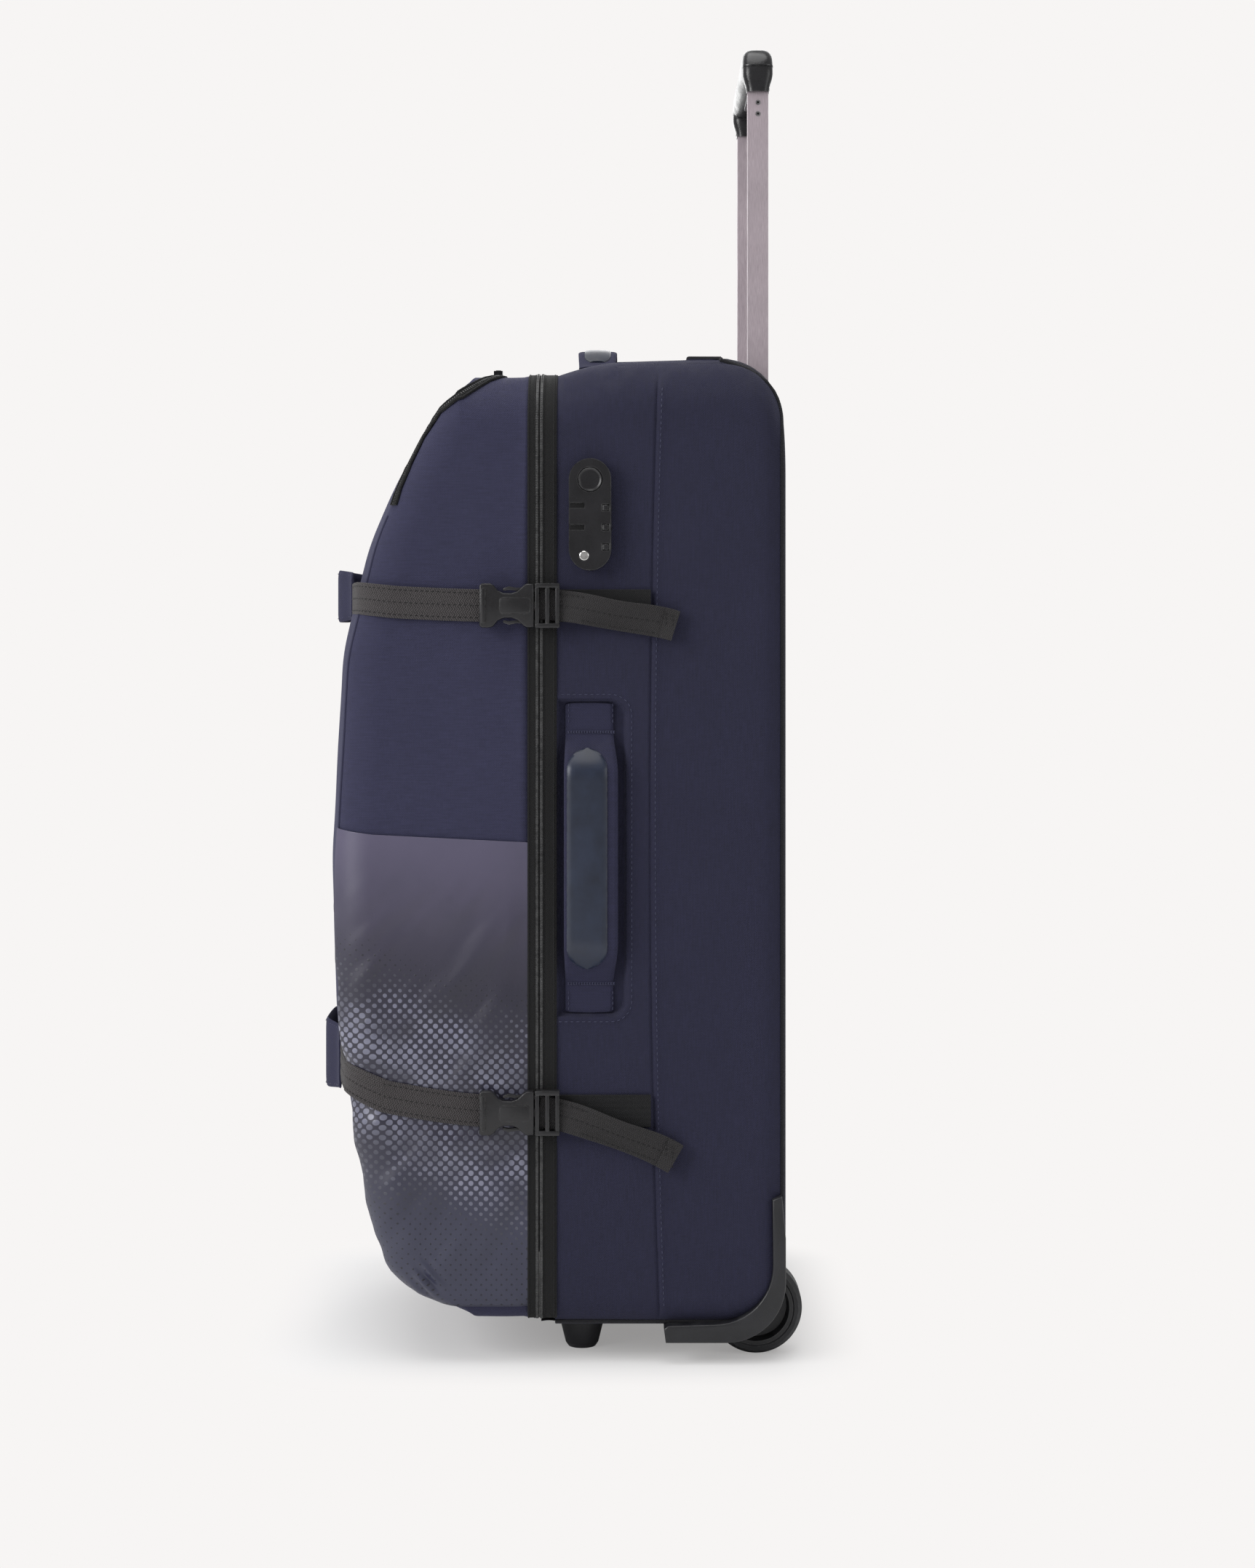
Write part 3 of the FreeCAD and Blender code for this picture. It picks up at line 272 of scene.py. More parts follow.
def addBeads(bm, spots, size):
    # small low beads, long, wide and high, each at (point, tangent, normal); made in short batches
    for start in range(0, len(spots), 40):
        batch = newShape()
        for point, tangent, normal in spots[start:start + 40]:
            tangent, normal = Vector(tangent).normalized(), Vector(normal).normalized()
            side = normal.cross(tangent).normalized()
            turn = Matrix((tangent * size[0], side * size[1],
                           tangent.cross(side) * size[2])).transposed().to_4x4()
            matrix = Matrix.Translation(Vector(point) * mm) @ turn @ Matrix.Diagonal((mm / 2, mm / 2,
                                                                                      mm / 2, 1))
            bmesh.ops.create_icosphere(batch, subdivisions=1, radius=1.0, matrix=matrix)
        mesh = bpy.data.meshes.new("batch")
        batch.to_mesh(mesh)
        batch.free()
        bm.from_mesh(mesh)
        bpy.data.meshes.remove(mesh)


def addStitches(bm, path, size=(3.1, 1.0, 0.8), gap=1.4, lift=0.0):
    # beads laid end to end along (point, normal) stations
    step = size[0] + gap
    left = step / 2
    spots = []
    for (first, up), (second, _) in zip(path, path[1:]):
        first, second = Vector(first), Vector(second)
        run = (second - first).length
        while left <= run and run > 0:
            spots.append((first.lerp(second, left / run) + Vector(up).normalized() * lift, second - first,
                          up))
            left += step
        left -= run
    addBeads(bm, spots, size)


def surfaceOf(bm):
    return BVHTree.FromBMesh(bm)


def settle(tree, point, lift=0.0, reach=40):
    # the nearest place on a surface, and the way it faces there
    spot, normal, _, _ = tree.find_nearest(Vector(point) * mm, reach * mm)
    return spot / mm + normal * lift, normal


def settlePath(tree, points, step, lift=0.0):
    # a line through the points, laid on a surface
    path = []
    for first, second in zip(points, points[1:]):
        first, second = Vector(first), Vector(second)
        count = max(1, round((second - first).length / step))
        path += [settle(tree, first.lerp(second, i / count), lift) for i in range(count)]
    path.append(settle(tree, points[-1], lift))
    return path


def put(tree, kind, inputs=None, **settings):
    node = tree.nodes.new(kind)
    for key, value in settings.items():
        setattr(node, key, value)
    for key, value in (inputs or {}).items():
        if isinstance(value, bpy.types.NodeSocket):
            tree.links.new(value, node.inputs[key])
        else:
            node.inputs[key].default_value = value
    return node


def calc(tree, operation, first, second=0.0, third=0.0, limit=False):
    return put(tree, "ShaderNodeMath", {0: first, 1: second, 2: third}, operation=operation,
               use_clamp=limit).outputs[0]


def bend(tree, value, low, high, start=0.0, end=1.0, soft=False):
    # maps low..high onto start..end
    kind = "SMOOTHSTEP" if soft else "LINEAR"
    return put(tree, "ShaderNodeMapRange", {"Value": value, "From Min": low, "From Max": high,
                                            "To Min": start,
                                            "To Max": end}, interpolation_type=kind).outputs["Result"]


def blendColour(tree, share, first, second, kind="MIX"):
    node = put(tree, "ShaderNodeMix", data_type="RGBA", blend_type=kind)
    for socket, value in ((node.inputs[0], share), (node.inputs[6], first), (node.inputs[7], second)):
        if isinstance(value, bpy.types.NodeSocket):
            tree.links.new(value, socket)
        else:
            socket.default_value = value
    return node.outputs[2]


def newGroup(name, inputs, outputs):
    tree = bpy.data.node_groups.new(name, "ShaderNodeTree")
    for label, kind, value in inputs:
        socket = tree.interface.new_socket(label, in_out="INPUT", socket_type="NodeSocket" + kind)
        if value is not None:
            socket.default_value = value
    for label, kind in outputs:
        tree.interface.new_socket(label, in_out="OUTPUT", socket_type="NodeSocket" + kind)
    return tree, put(tree, "NodeGroupInput").outputs, put(tree, "NodeGroupOutput").inputs


def send(tree, value, socket):
    tree.links.new(value, socket)


def useGroup(tree, name, inputs):
    node = put(tree, "ShaderNodeGroup", node_tree=bpy.data.node_groups[name])
    for key, value in inputs.items():
        if isinstance(value, bpy.types.NodeSocket):
            tree.links.new(value, node.inputs[key])
        else:
            node.inputs[key].default_value = value
    return node.outputs


def noiseOf(tree, vector, scale, detail=2.0, rough=0.5):
    return put(tree, "ShaderNodeTexNoise", {"Vector": vector, "Scale": scale, "Detail": detail,
                                            "Roughness": rough}).outputs[0]


def stretched(tree, vector, scale):
    return put(tree, "ShaderNodeVectorMath", {0: vector, 1: scale}, operation="MULTIPLY").outputs[0]


# plain weave: crossing threads that pass over and under, with slubs in both directions
tree, given, out = newGroup("plainWeave", [("Vector", "Vector", None), ("Pitch", "Float", 0.0009),
                                          ("Slub", "Float", 1.0)], [("Height", "Float"), ("Shade", "Float")])
cells = put(tree, "ShaderNodeVectorMath", {0: given["Vector"],
                                           "Scale": calc(tree, "DIVIDE", 1.0, given["Pitch"])},
            operation="SCALE").outputs[0]
wobble = noiseOf(tree, cells, 0.06, 1.0)
parts = put(tree, "ShaderNodeSeparateXYZ", {0: cells}).outputs
warp = calc(tree, "SINE", calc(tree, "MULTIPLY", calc(tree, "ADD", parts[0], wobble), math.pi))
weft = calc(tree, "SINE", calc(tree, "MULTIPLY", calc(tree, "ADD", parts[1], wobble), math.pi))
crossing = calc(tree, "MULTIPLY", warp, weft)
ridges = calc(tree, "ADD", calc(tree, "ABSOLUTE", warp), calc(tree, "ABSOLUTE", weft))
send(tree, calc(tree, "MULTIPLY_ADD", crossing, 0.5, calc(tree, "MULTIPLY", ridges, 0.35)), out["Height"])
warpSlub = noiseOf(tree, stretched(tree, cells, (0.8, 0.11, 1)), 1.0, 2.0)
weftSlub = noiseOf(tree, stretched(tree, cells, (0.06, 0.9, 1)), 1.0, 2.0)
slub = calc(tree, "SUBTRACT", calc(tree, "MULTIPLY_ADD", warpSlub, 0.5, weftSlub), 0.75)
shade = calc(tree, "MULTIPLY_ADD", slub, given["Slub"], calc(tree, "MULTIPLY_ADD", crossing, 0.16, 0.5))
send(tree, calc(tree, "ADD", shade, 0.0, limit=True), out["Shade"])

# ribbed tape: ribs across, set in a zigzag by the slant, threads between
tree, given, out = newGroup("ribbedTape", [("Vector", "Vector", None), ("Rib", "Float", 0.0016),
                                          ("Slant", "Float", 0.0)],
                                          [("Height", "Float"), ("Shade", "Float")])
parts = put(tree, "ShaderNodeSeparateXYZ", {0: given["Vector"]}).outputs
zigzag = calc(tree, "PINGPONG", parts[0], 0.0022)
run = calc(tree, "MULTIPLY_ADD", zigzag, given["Slant"], parts[1])
ribs = calc(tree, "SINE", calc(tree, "DIVIDE", calc(tree, "MULTIPLY", run, math.tau), given["Rib"]))
threads = calc(tree, "SINE", calc(tree, "DIVIDE", parts[0], 0.00011))
fuzz = noiseOf(tree, given["Vector"], 900.0, 3.0, 0.6)
send(tree, calc(tree, "MULTIPLY_ADD", ribs, 0.5, calc(tree, "MULTIPLY_ADD", threads, 0.12, fuzz)),
     out["Height"])
send(tree, bend(tree, calc(tree, "MULTIPLY_ADD", ribs, 0.25, fuzz), 0.1, 0.95), out["Shade"])

# moulded plastic: fine pebble with cloudy gloss
tree, given, out = newGroup("mouldedGrain", [("Vector", "Vector", None), ("Scale", "Float", 1800.0)],
                            [("Height", "Float"), ("Gloss", "Float")])
pebble = put(tree, "ShaderNodeTexVoronoi", {"Vector": given["Vector"], "Scale": given["Scale"]}).outputs[0]
send(tree, calc(tree, "MULTIPLY_ADD", noiseOf(tree, given["Vector"], given["Scale"], 2.0), 0.6, pebble),
     out["Height"])
send(tree, noiseOf(tree, given["Vector"], 45.0, 3.0, 0.6), out["Gloss"])

# edge wear: where a corner turns sharply, broken up
tree, given, out = newGroup("edgeWear", [("Vector", "Vector", None), ("Radius", "Float", 0.0012)],
                            [("Mask", "Float")])
rounded = put(tree, "ShaderNodeBevel", {"Radius": given["Radius"]}, samples=4).outputs[0]
facing = put(tree, "ShaderNodeNewGeometry").outputs["Normal"]
turning = put(tree, "ShaderNodeVectorMath", {0: rounded, 1: facing},
              operation="DOT_PRODUCT").outputs["Value"]
broken = bend(tree, noiseOf(tree, given["Vector"], 260.0, 4.0, 0.65), 0.35, 0.65)
send(tree, calc(tree, "MULTIPLY", bend(tree, turning, 0.985, 0.86, 0.0, 1.0), broken, limit=True),
     out["Mask"])

# dust: a thin veil on faces that look up
tree, given, out = newGroup("dustVeil", [("Vector", "Vector", None), ("Amount", "Float", 0.2)],
                            [("Mask", "Float")])
height = put(tree, "ShaderNodeSeparateXYZ",
             {0: put(tree, "ShaderNodeNewGeometry").outputs["Normal"]}).outputs[2]
cloud = bend(tree, noiseOf(tree, given["Vector"], 60.0, 4.0, 0.6), 0.4, 0.75)
send(tree, calc(tree, "MULTIPLY", calc(tree, "MULTIPLY", bend(tree, height, 0.2, 1.0), cloud),
                given["Amount"], limit=True), out["Mask"])

# printed dots in a slanting lattice, each as large as the map says where its middle lies
tree, given, out = newGroup("printedDots", [("Vector", "Vector", None), ("Pitch", "Float", 0.0078)],
                            [("Dots", "Float"), ("Gloss", "Float")])
parts = put(tree, "ShaderNodeSeparateXYZ", {0: given["Vector"]}).outputs
across = calc(tree, "DIVIDE", calc(tree, "ADD", parts[0], parts[1]), given["Pitch"])
upward = calc(tree, "DIVIDE", calc(tree, "SUBTRACT", parts[1], parts[0]), given["Pitch"])
cellA, cellB = calc(tree, "ROUND", across), calc(tree, "ROUND", upward)
distance = calc(tree, "SQRT", calc(tree, "ADD", calc(tree, "POWER", calc(tree, "SUBTRACT", across, cellA),
                                                     2.0),
                                   calc(tree, "POWER", calc(tree, "SUBTRACT", upward, cellB), 2.0)))
middleY = calc(tree, "MULTIPLY", calc(tree, "SUBTRACT", cellA, cellB),
               calc(tree, "MULTIPLY", given["Pitch"], 0.5))
middleZ = calc(tree, "MULTIPLY", calc(tree, "ADD", cellA, cellB),
               calc(tree, "MULTIPLY", given["Pitch"], 0.5))
# large dots in a band that slants down towards the zip, cut by slanting bare strips, small ones below
band = calc(tree, "MULTIPLY_ADD", middleY, 0.32, middleZ)
swell = bend(tree, band, 0.302, 0.212, 0.06, 1.0, soft=True)
fade = bend(tree, band, 0.138, 0.070, 1.0, 0.34, soft=True)
strip = put(tree, "ShaderNodeTexWave", {"Vector": put(tree, "ShaderNodeCombineXYZ", {
    0: calc(tree, "MULTIPLY_ADD", middleY, 0.8, middleZ), 1: middleY}).outputs[0],
    "Scale": 5.5, "Distortion": 1.6, "Detail": 1.0, "Detail Scale": 1.4})
cut = bend(tree, strip.outputs[1], 0.1, 0.5, 0.84, 1.0)
radius = calc(tree, "MULTIPLY", calc(tree, "MULTIPLY", swell, fade), calc(tree, "MULTIPLY", cut, 0.4))
shown = bend(tree, calc(tree, "SUBTRACT", radius, distance), -0.03, 0.03)
send(tree, calc(tree, "MULTIPLY", shown, bend(tree, radius, 0.03, 0.07), limit=True), out["Dots"])
patches = bend(tree, noiseOf(tree, given["Vector"], 26.0, 2.0), 0.4, 0.6, 0.3, 1.0)
send(tree, calc(tree, "MULTIPLY", bend(tree, radius, 0.14, 0.34), patches), out["Gloss"])


def newMaterial(name, **values):
    material = bpy.data.materials.new(name)
    material.use_nodes = True
    nodes = material.node_tree
    nodes.nodes.clear()
    shader = put(nodes, "ShaderNodeBsdfPrincipled", {key: value for key, value in values.items()})
    final = put(nodes, "ShaderNodeOutputMaterial")
    nodes.links.new(shader.outputs[0], final.inputs["Surface"])
    return material, nodes, shader


def bump(tree, shader, height, depth, strength=1.0):
    node = put(tree, "ShaderNodeBump", {"Height": height, "Distance": depth, "Strength": strength})
    send(tree, node.outputs[0], shader.inputs["Normal"])


def placeOf(tree, kind):
    return put(tree, "ShaderNodeTexCoord").outputs["UV" if kind == "uv" else "Object"]


def grey(level):
    return (level, level, level, 1)


def tone(red, green, blue):
    # a display colour from 0 to 255 as the shader wants it
    return tuple((part / 255 / 12.92) if part < 10 else ((part / 255 + 0.055) / 1.055) ** 2.4
                 for part in (red, green, blue)) + (1,)


def clothMaterial(name, dark, light, pitch=0.0009, slub=1.0, depth=0.00016, rough=(0.74, 0.92), sheen=0.12,
                  tint=(0.5, 0.5, 0.7, 1), speck=0.25):
    material, nodes, shader = newMaterial(name, **{"Sheen Weight": sheen, "Sheen Roughness": 0.4,
                                                   "Sheen Tint": tint, "Specular IOR Level": speck})
    place = placeOf(nodes, "uv")
    weave = useGroup(nodes, "plainWeave", {"Vector": place, "Pitch": pitch, "Slub": slub})
    where = placeOf(nodes, "object")
    cloud = noiseOf(nodes, where, 9.0, 4.0, 0.55)
    base = blendColour(nodes, weave["Shade"], dark, light)
    worn = useGroup(nodes, "edgeWear", {"Vector": where, "Radius": 0.002})["Mask"]
    base = blendColour(nodes, calc(nodes, "MULTIPLY", worn, 0.18), base, light)
    base = blendColour(nodes, bend(nodes, cloud, 0.3, 0.7, 0.0, 0.22), base, dark)
    dusty = useGroup(nodes, "dustVeil", {"Vector": where, "Amount": 0.06})["Mask"]
    send(nodes, blendColour(nodes, dusty, base, grey(0.25)), shader.inputs["Base Color"])
    send(nodes, bend(nodes, weave["Shade"], 0.2, 0.8, rough[0], rough[1]), shader.inputs["Roughness"])
    bump(nodes, shader, weave["Height"], depth)
    return material


def tapeMaterial(name, dark, light, rib=0.0016, slant=0.0, depth=0.00022, rough=0.8, speck=0.3):
    material, nodes, shader = newMaterial(name, **{"Sheen Weight": 0.1, "Sheen Roughness": 0.35,
                                                   "Specular IOR Level": speck})
    place = placeOf(nodes, "uv")
    ribbed = useGroup(nodes, "ribbedTape", {"Vector": place, "Rib": rib, "Slant": slant})
    where = placeOf(nodes, "object")
    base = blendColour(nodes, ribbed["Shade"], dark, light)
    worn = useGroup(nodes, "edgeWear", {"Vector": where, "Radius": 0.0012})["Mask"]
    send(nodes, blendColour(nodes, calc(nodes, "MULTIPLY", worn, 0.25), base, light),
         shader.inputs["Base Color"])
    send(nodes, bend(nodes, ribbed["Shade"], 0.0, 1.0, rough - 0.12, rough + 0.1),
         shader.inputs["Roughness"])
    bump(nodes, shader, ribbed["Height"], depth)
    return material


def mouldedMaterial(name, dark, light, scale=1500.0, depth=0.00005, rough=(0.36, 0.5), wear=0.3, speck=0.5,
                    coat=0.0, dust=0.08):
    material, nodes, shader = newMaterial(name, **{"Specular IOR Level": speck, "Coat Weight": coat,
                                                   "Coat Roughness": 0.2})
    where = placeOf(nodes, "object")
    grain = useGroup(nodes, "mouldedGrain", {"Vector": where, "Scale": scale})
    worn = calc(nodes, "MULTIPLY", useGroup(nodes, "edgeWear", {"Vector": where})["Mask"], wear)
    base = blendColour(nodes, bend(nodes, grain["Gloss"], 0.3, 0.7), dark, light)
    dusty = useGroup(nodes, "dustVeil", {"Vector": where, "Amount": dust})["Mask"]
    base = blendColour(nodes, dusty, blendColour(nodes, worn, base, grey(0.22)), grey(0.3))
    send(nodes, base, shader.inputs["Base Color"])
    gloss = bend(nodes, grain["Gloss"], 0.3, 0.7, rough[0], rough[1])
    send(nodes, calc(nodes, "MULTIPLY_ADD", worn, -0.15, gloss), shader.inputs["Roughness"])
    bump(nodes, shader, grain["Height"], depth)
    return material


def metalMaterial(name, dark, light, rough=(0.28, 0.4), lines=(40.0, 40.0, 2.0), depth=0.00001,
                  metallic=1.0):
    material, nodes, shader = newMaterial(name, **{"Metallic": metallic})
    where = placeOf(nodes, "object")
    brushed = noiseOf(nodes, stretched(nodes, where, lines), 60.0, 4.0, 0.6)
    worn = useGroup(nodes, "edgeWear", {"Vector": where, "Radius": 0.0006})["Mask"]
    cloud = noiseOf(nodes, where, 30.0, 3.0)
    base = blendColour(nodes, bend(nodes, brushed, 0.3, 0.7), dark, light)
    base = blendColour(nodes, calc(nodes, "MULTIPLY", worn, 0.5), base, grey(0.8))
    send(nodes, base, shader.inputs["Base Color"])
    send(nodes, bend(nodes, cloud, 0.3, 0.7, rough[0], rough[1]), shader.inputs["Roughness"])
    bump(nodes, shader, brushed, depth)
    return material


finishes = {
    # the darker navy of the tub and the lighter navy of the lid are one cloth in a shaded copy and a lit
    # copy: painted shade towards the back of the bag, painted light towards the front
    "navyTubShaded": clothMaterial("navyClothShadedCopy", tone(25, 25, 40), tone(50, 50, 74), slub=0.7),
    "navyLidLit": clothMaterial("navyClothLitCopy", tone(34, 34, 53), tone(63, 63, 90), slub=0.7),
    "navyDeep": clothMaterial("navyPadding", tone(29, 29, 46), tone(54, 54, 80), pitch=0.0011, slub=0.6),
    "back": clothMaterial("backCloth", tone(20, 20, 24), tone(36, 36, 42), pitch=0.0012, slub=0.5),
    "lining": clothMaterial("liningCloth", tone(46, 47, 56), tone(66, 67, 78), pitch=0.0006, slub=0.4,
                            rough=(0.5, 0.62), depth=0.00006, sheen=0.0),
    "board": clothMaterial("coveredBoard", tone(52, 53, 60), tone(70, 71, 80), pitch=0.0006, slub=0.3,
                           rough=(0.6, 0.7), depth=0.00005, sheen=0.0),
    "binding": tapeMaterial("bindingTape", tone(16, 16, 19), tone(38, 38, 43), rib=0.0011),
    "tape": tapeMaterial("zipTape", tone(7, 7, 8), tone(27, 27, 28), rib=0.0013, slant=0.8),
    "webbing": tapeMaterial("strapWebbing", tone(27, 25, 26), tone(88, 84, 85), rib=0.0019, slant=0.9,
                            depth=0.0004),
    # the hanging tails are the strap webbing in a darker copy: painted shade
    "tail": tapeMaterial("tailWebbing", tone(24, 23, 24), tone(60, 58, 59), rib=0.0017, slant=0.9,
                         depth=0.0003),
    "anchor": tapeMaterial("anchorWebbing", tone(12, 12, 13), tone(32, 32, 34), rib=0.0015, slant=0.9),
    "thread": tapeMaterial("navyThread", tone(42, 43, 64), tone(76, 77, 104), rib=0.0006, rough=0.55),
    "darkThread": tapeMaterial("darkThread", tone(10, 10, 11), tone(34, 33, 34), rib=0.0006, rough=0.6),
    "coil": mouldedMaterial("coilNylon", tone(20, 20, 21), tone(42, 42, 43), rough=(0.3, 0.4), dust=0.02),
    "buckle": mouldedMaterial("bucklePlastic", tone(17, 16, 18), tone(28, 27, 30), rough=(0.24, 0.34),
                              scale=2400.0,
                              depth=0.00006),
    "moulded": mouldedMaterial("guardPlastic", tone(20, 20, 23), tone(32, 32, 36), rough=(0.3, 0.42)),
    "grip": mouldedMaterial("gripPlastic", tone(18, 18, 20), tone(30, 29, 32), rough=(0.2, 0.32),
                            scale=1200.0),
    "button": mouldedMaterial("buttonPlastic", tone(46, 45, 48), tone(64, 63, 66), rough=(0.3, 0.42)),
    "tyre": mouldedMaterial("tyreRubber", tone(22, 22, 25), tone(36, 36, 40), rough=(0.5, 0.66),
                            depth=0.0001,
                            dust=0.15),
    "hub": mouldedMaterial("hubPlastic", tone(18, 18, 20), tone(30, 30, 33), rough=(0.4, 0.5)),
    "lock": mouldedMaterial("lockCase", tone(14, 13, 16), tone(24, 23, 27), rough=(0.22, 0.32), scale=2600.0,
                            depth=0.00003),
    "inlay": mouldedMaterial("handleInlay", tone(16, 24, 42), tone(27, 37, 59), rough=(0.3, 0.4),
                             scale=3000.0,
                             depth=0.00002, coat=0.15, dust=0.03),
    "alloy": metalMaterial("mauveAlloy", tone(176, 162, 170), tone(206, 194, 200), rough=(0.38, 0.5),
                           metallic=0.75),
    "alloyDark": metalMaterial("grooveAlloy", tone(92, 80, 90), tone(112, 100, 108), rough=(0.4, 0.5)),
    "steel": metalMaterial("brightSteel", tone(120, 118, 120), tone(176, 174, 176), rough=(0.2, 0.34),
                           lines=(8.0, 8.0, 8.0)),
    "keySteel": metalMaterial("keySteel", tone(170, 168, 166), tone(214, 212, 210), rough=(0.16, 0.28),
                              lines=(8.0, 8.0, 8.0)),
    "slider": metalMaterial("blackSlider", tone(34, 34, 36), tone(60, 60, 62), rough=(0.24, 0.36),
                            lines=(6.0, 6.0, 6.0)),
}


def coatedMaterial():
    # laminated cloth: fine film with a printed field of glossy dots, and painted sheen that lightens the top
    # of the pocket and its foot
    material, nodes, shader = newMaterial("coatedCloth", **{"Specular IOR Level": 0.5,
                                                            "Coat Roughness": 0.3})
    place, where = placeOf(nodes, "uv"), placeOf(nodes, "object")
    film = useGroup(nodes, "plainWeave", {"Vector": place, "Pitch": 0.0005, "Slub": 0.5})
    dots = useGroup(nodes, "printedDots", {"Vector": place})
    height = put(nodes, "ShaderNodeSeparateXYZ", {0: where}).outputs[2]
    cloud = noiseOf(nodes, where, 14.0, 3.0)
    base = blendColour(nodes, film["Shade"], tone(33, 31, 44), tone(47, 44, 61))
    # painted sheen: the upper pocket is lightened as if it caught the light from above
    paintedTopSheen = bend(nodes, height, 0.28, 0.415, soft=True)
    base = blendColour(nodes, calc(nodes, "MULTIPLY", paintedTopSheen, 0.9), base, tone(88, 83, 106))
    # painted reflection: the foot of the pocket is lightened
    base = blendColour(nodes, bend(nodes, height, 0.19, 0.09, 0.0, 0.7, soft=True), base, tone(60, 62, 82))
    base = blendColour(nodes, bend(nodes, cloud, 0.35, 0.7, 0.0, 0.3), base, tone(42, 43, 60))
    printed = blendColour(nodes, dots["Gloss"], tone(26, 25, 35), tone(118, 119, 138))
    base = blendColour(nodes, dots["Dots"], base, printed)
    send(nodes, base, shader.inputs["Base Color"])
    gloss = calc(nodes, "MULTIPLY", dots["Dots"], dots["Gloss"])
    send(nodes, calc(nodes, "MULTIPLY_ADD", gloss, -0.2, bend(nodes, cloud, 0.3, 0.7, 0.36, 0.46)),
         shader.inputs["Roughness"])
    send(nodes, calc(nodes, "MULTIPLY", gloss, 0.35), shader.inputs["Coat Weight"])
    bump(nodes, shader, calc(nodes, "MULTIPLY_ADD", dots["Dots"], 1.6,
                             calc(nodes, "MULTIPLY", film["Height"], 0.5)),
         0.00008)
    return material


finishes["coated"] = coatedMaterial()
print("finishes ready")

# the two halves of the bag, from the frame
tub = {"half": span("tub_side_right")[1].x, "low": span("tub_bottom_panel")[0].z,
       "back": span("tub_back_panel")[1].y,
       "high": span("tub_zip_tape")[1].z - 1, "front": span("tub_zip_tape")[1].y, "crest": 48, "top": 780,
       "roundHigh": 45, "roundLow": 25, "roundBack": 20, "shoulder": 50, "heel": 45, "seam": 82,
       "shoulderSeam": 106,
       "drop": 3, "turned": 4, "middle": 420, "bow": 6.5, "bowHalf": 365, "gather": 3.8}
lid = {"half": tub["half"], "low": span("lid_bottom_panel")[0].z, "high": tub["high"],
       "front": span("lid_front_panel")[0].y, "zipLine": -10, "edge": span("lid_zip_tape")[0].y,
       "roundHigh": 45, "roundLow": 25, "crown": 19, "crownReach": 120, "crownEdge": 0.75, "corner": 26,
       "overlap": 20, "seam": 1.72,
       "profile": [(0, .20), (.012, .50), (.044, .743), (.079, .80), (.147, .869), (.312, .977), (.483, 1),
                   (.70, .949), (.82, .829), (.887, .703), (.939, .589), (.98, .457), (1, .286)]}
recess = {"back": 57.7, "low": 268.0, "high": 513.0, "corner": 13.0, "depth": 6.3, "wall": 3.0}


def loopLengths(loop):
    a = loop["half"] - loop["roundLow"]
    b = math.pi / 2 * loop["roundLow"]
    c = loop["high"] - loop["roundHigh"] - loop["low"] - loop["roundLow"]
    d = math.pi / 2 * loop["roundHigh"]
    return a, a + b, a + b + c, a + b + c + d, a + b + c + d + loop["half"] - loop["roundHigh"]


def loopPoint(loop, u, half=None, low=None, high=None):
    # x, z and facing at u mm round a half's outline, from the middle of its underside
    half = loop["half"] if half is None else half
    low = loop["low"] if low is None else low
    high = loop["high"] if high is None else high
    ends = loopLengths(loop)
    if u > ends[4]:
        x, z, nx, nz = loopPoint(loop, 2 * ends[4] - u, half, low, high)
        return -x, z, -nx, nz
    rHigh, rLow = loop["roundHigh"], loop["roundLow"]
    if u < ends[0]:
        return u * (half - rLow) / ends[0], low, 0, -1
    if u < ends[1]:
        angle = math.pi / 2 * ((u - ends[0]) / (ends[1] - ends[0]) - 1)
        return (half - rLow + rLow * math.cos(angle), low + rLow + rLow * math.sin(angle),
                math.cos(angle), math.sin(angle))
    if u < ends[2]:
        z = loop["low"] + rLow + u - ends[1]
        z += (high - loop["high"]) * ease(600, loop["high"] - rHigh, z) \
            + (low - loop["low"]) * (1 - ease(loop["low"] + rLow, 200, z))
        return half, z, 1, 0
    if u < ends[3]:
        angle = math.pi / 2 * (u - ends[2]) / (ends[3] - ends[2])
        return (half - rHigh + rHigh * math.cos(angle), high - rHigh + rHigh * math.sin(angle),
                math.cos(angle), math.sin(angle))
    return (half - rHigh) * (1 - (u - ends[3]) / (ends[4] - ends[3])), high, 0, 1


def uAt(loop, z):
    return loopLengths(loop)[1] + z - loop["low"] - loop["roundLow"]


def tubHigh(y):
    crest = tub["front"] + tub["crest"]
    if y < crest:
        share = (y - tub["front"]) / tub["crest"]
        return tub["high"] + (tub["top"] - tub["drop"] - tub["high"]) * (1 - (1 - share) ** 1.5)
    start = tub["back"] - tub["shoulder"]
    if y < start:
        return tub["top"] - tub["drop"] * (1 - ease(crest - 30, start, y))
    return tub["top"] - tub["shoulder"] + math.sqrt(max(0, tub["shoulder"] ** 2 - (y - start) ** 2))


def tubLow(y):
    start = tub["back"] - tub["heel"]
    if y < start:
        return tub["low"]
    return tub["low"] + tub["heel"] - math.sqrt(max(0, tub["heel"] ** 2 - (y - start) ** 2))


def tubHalf(y):
    start = tub["back"] - tub["roundBack"]
    if y < start:
        return tub["half"]
    return tub["half"] - tub["roundBack"] + math.sqrt(max(0, tub["roundBack"] ** 2 - (y - start) ** 2))


def tubPoint(u, y, lift=0.0):
    x, z, nx, nz = loopPoint(tub, u, tubHalf(y), tubLow(y), tubHigh(y))
    return Vector((x + nx * lift, y, z + nz * lift))


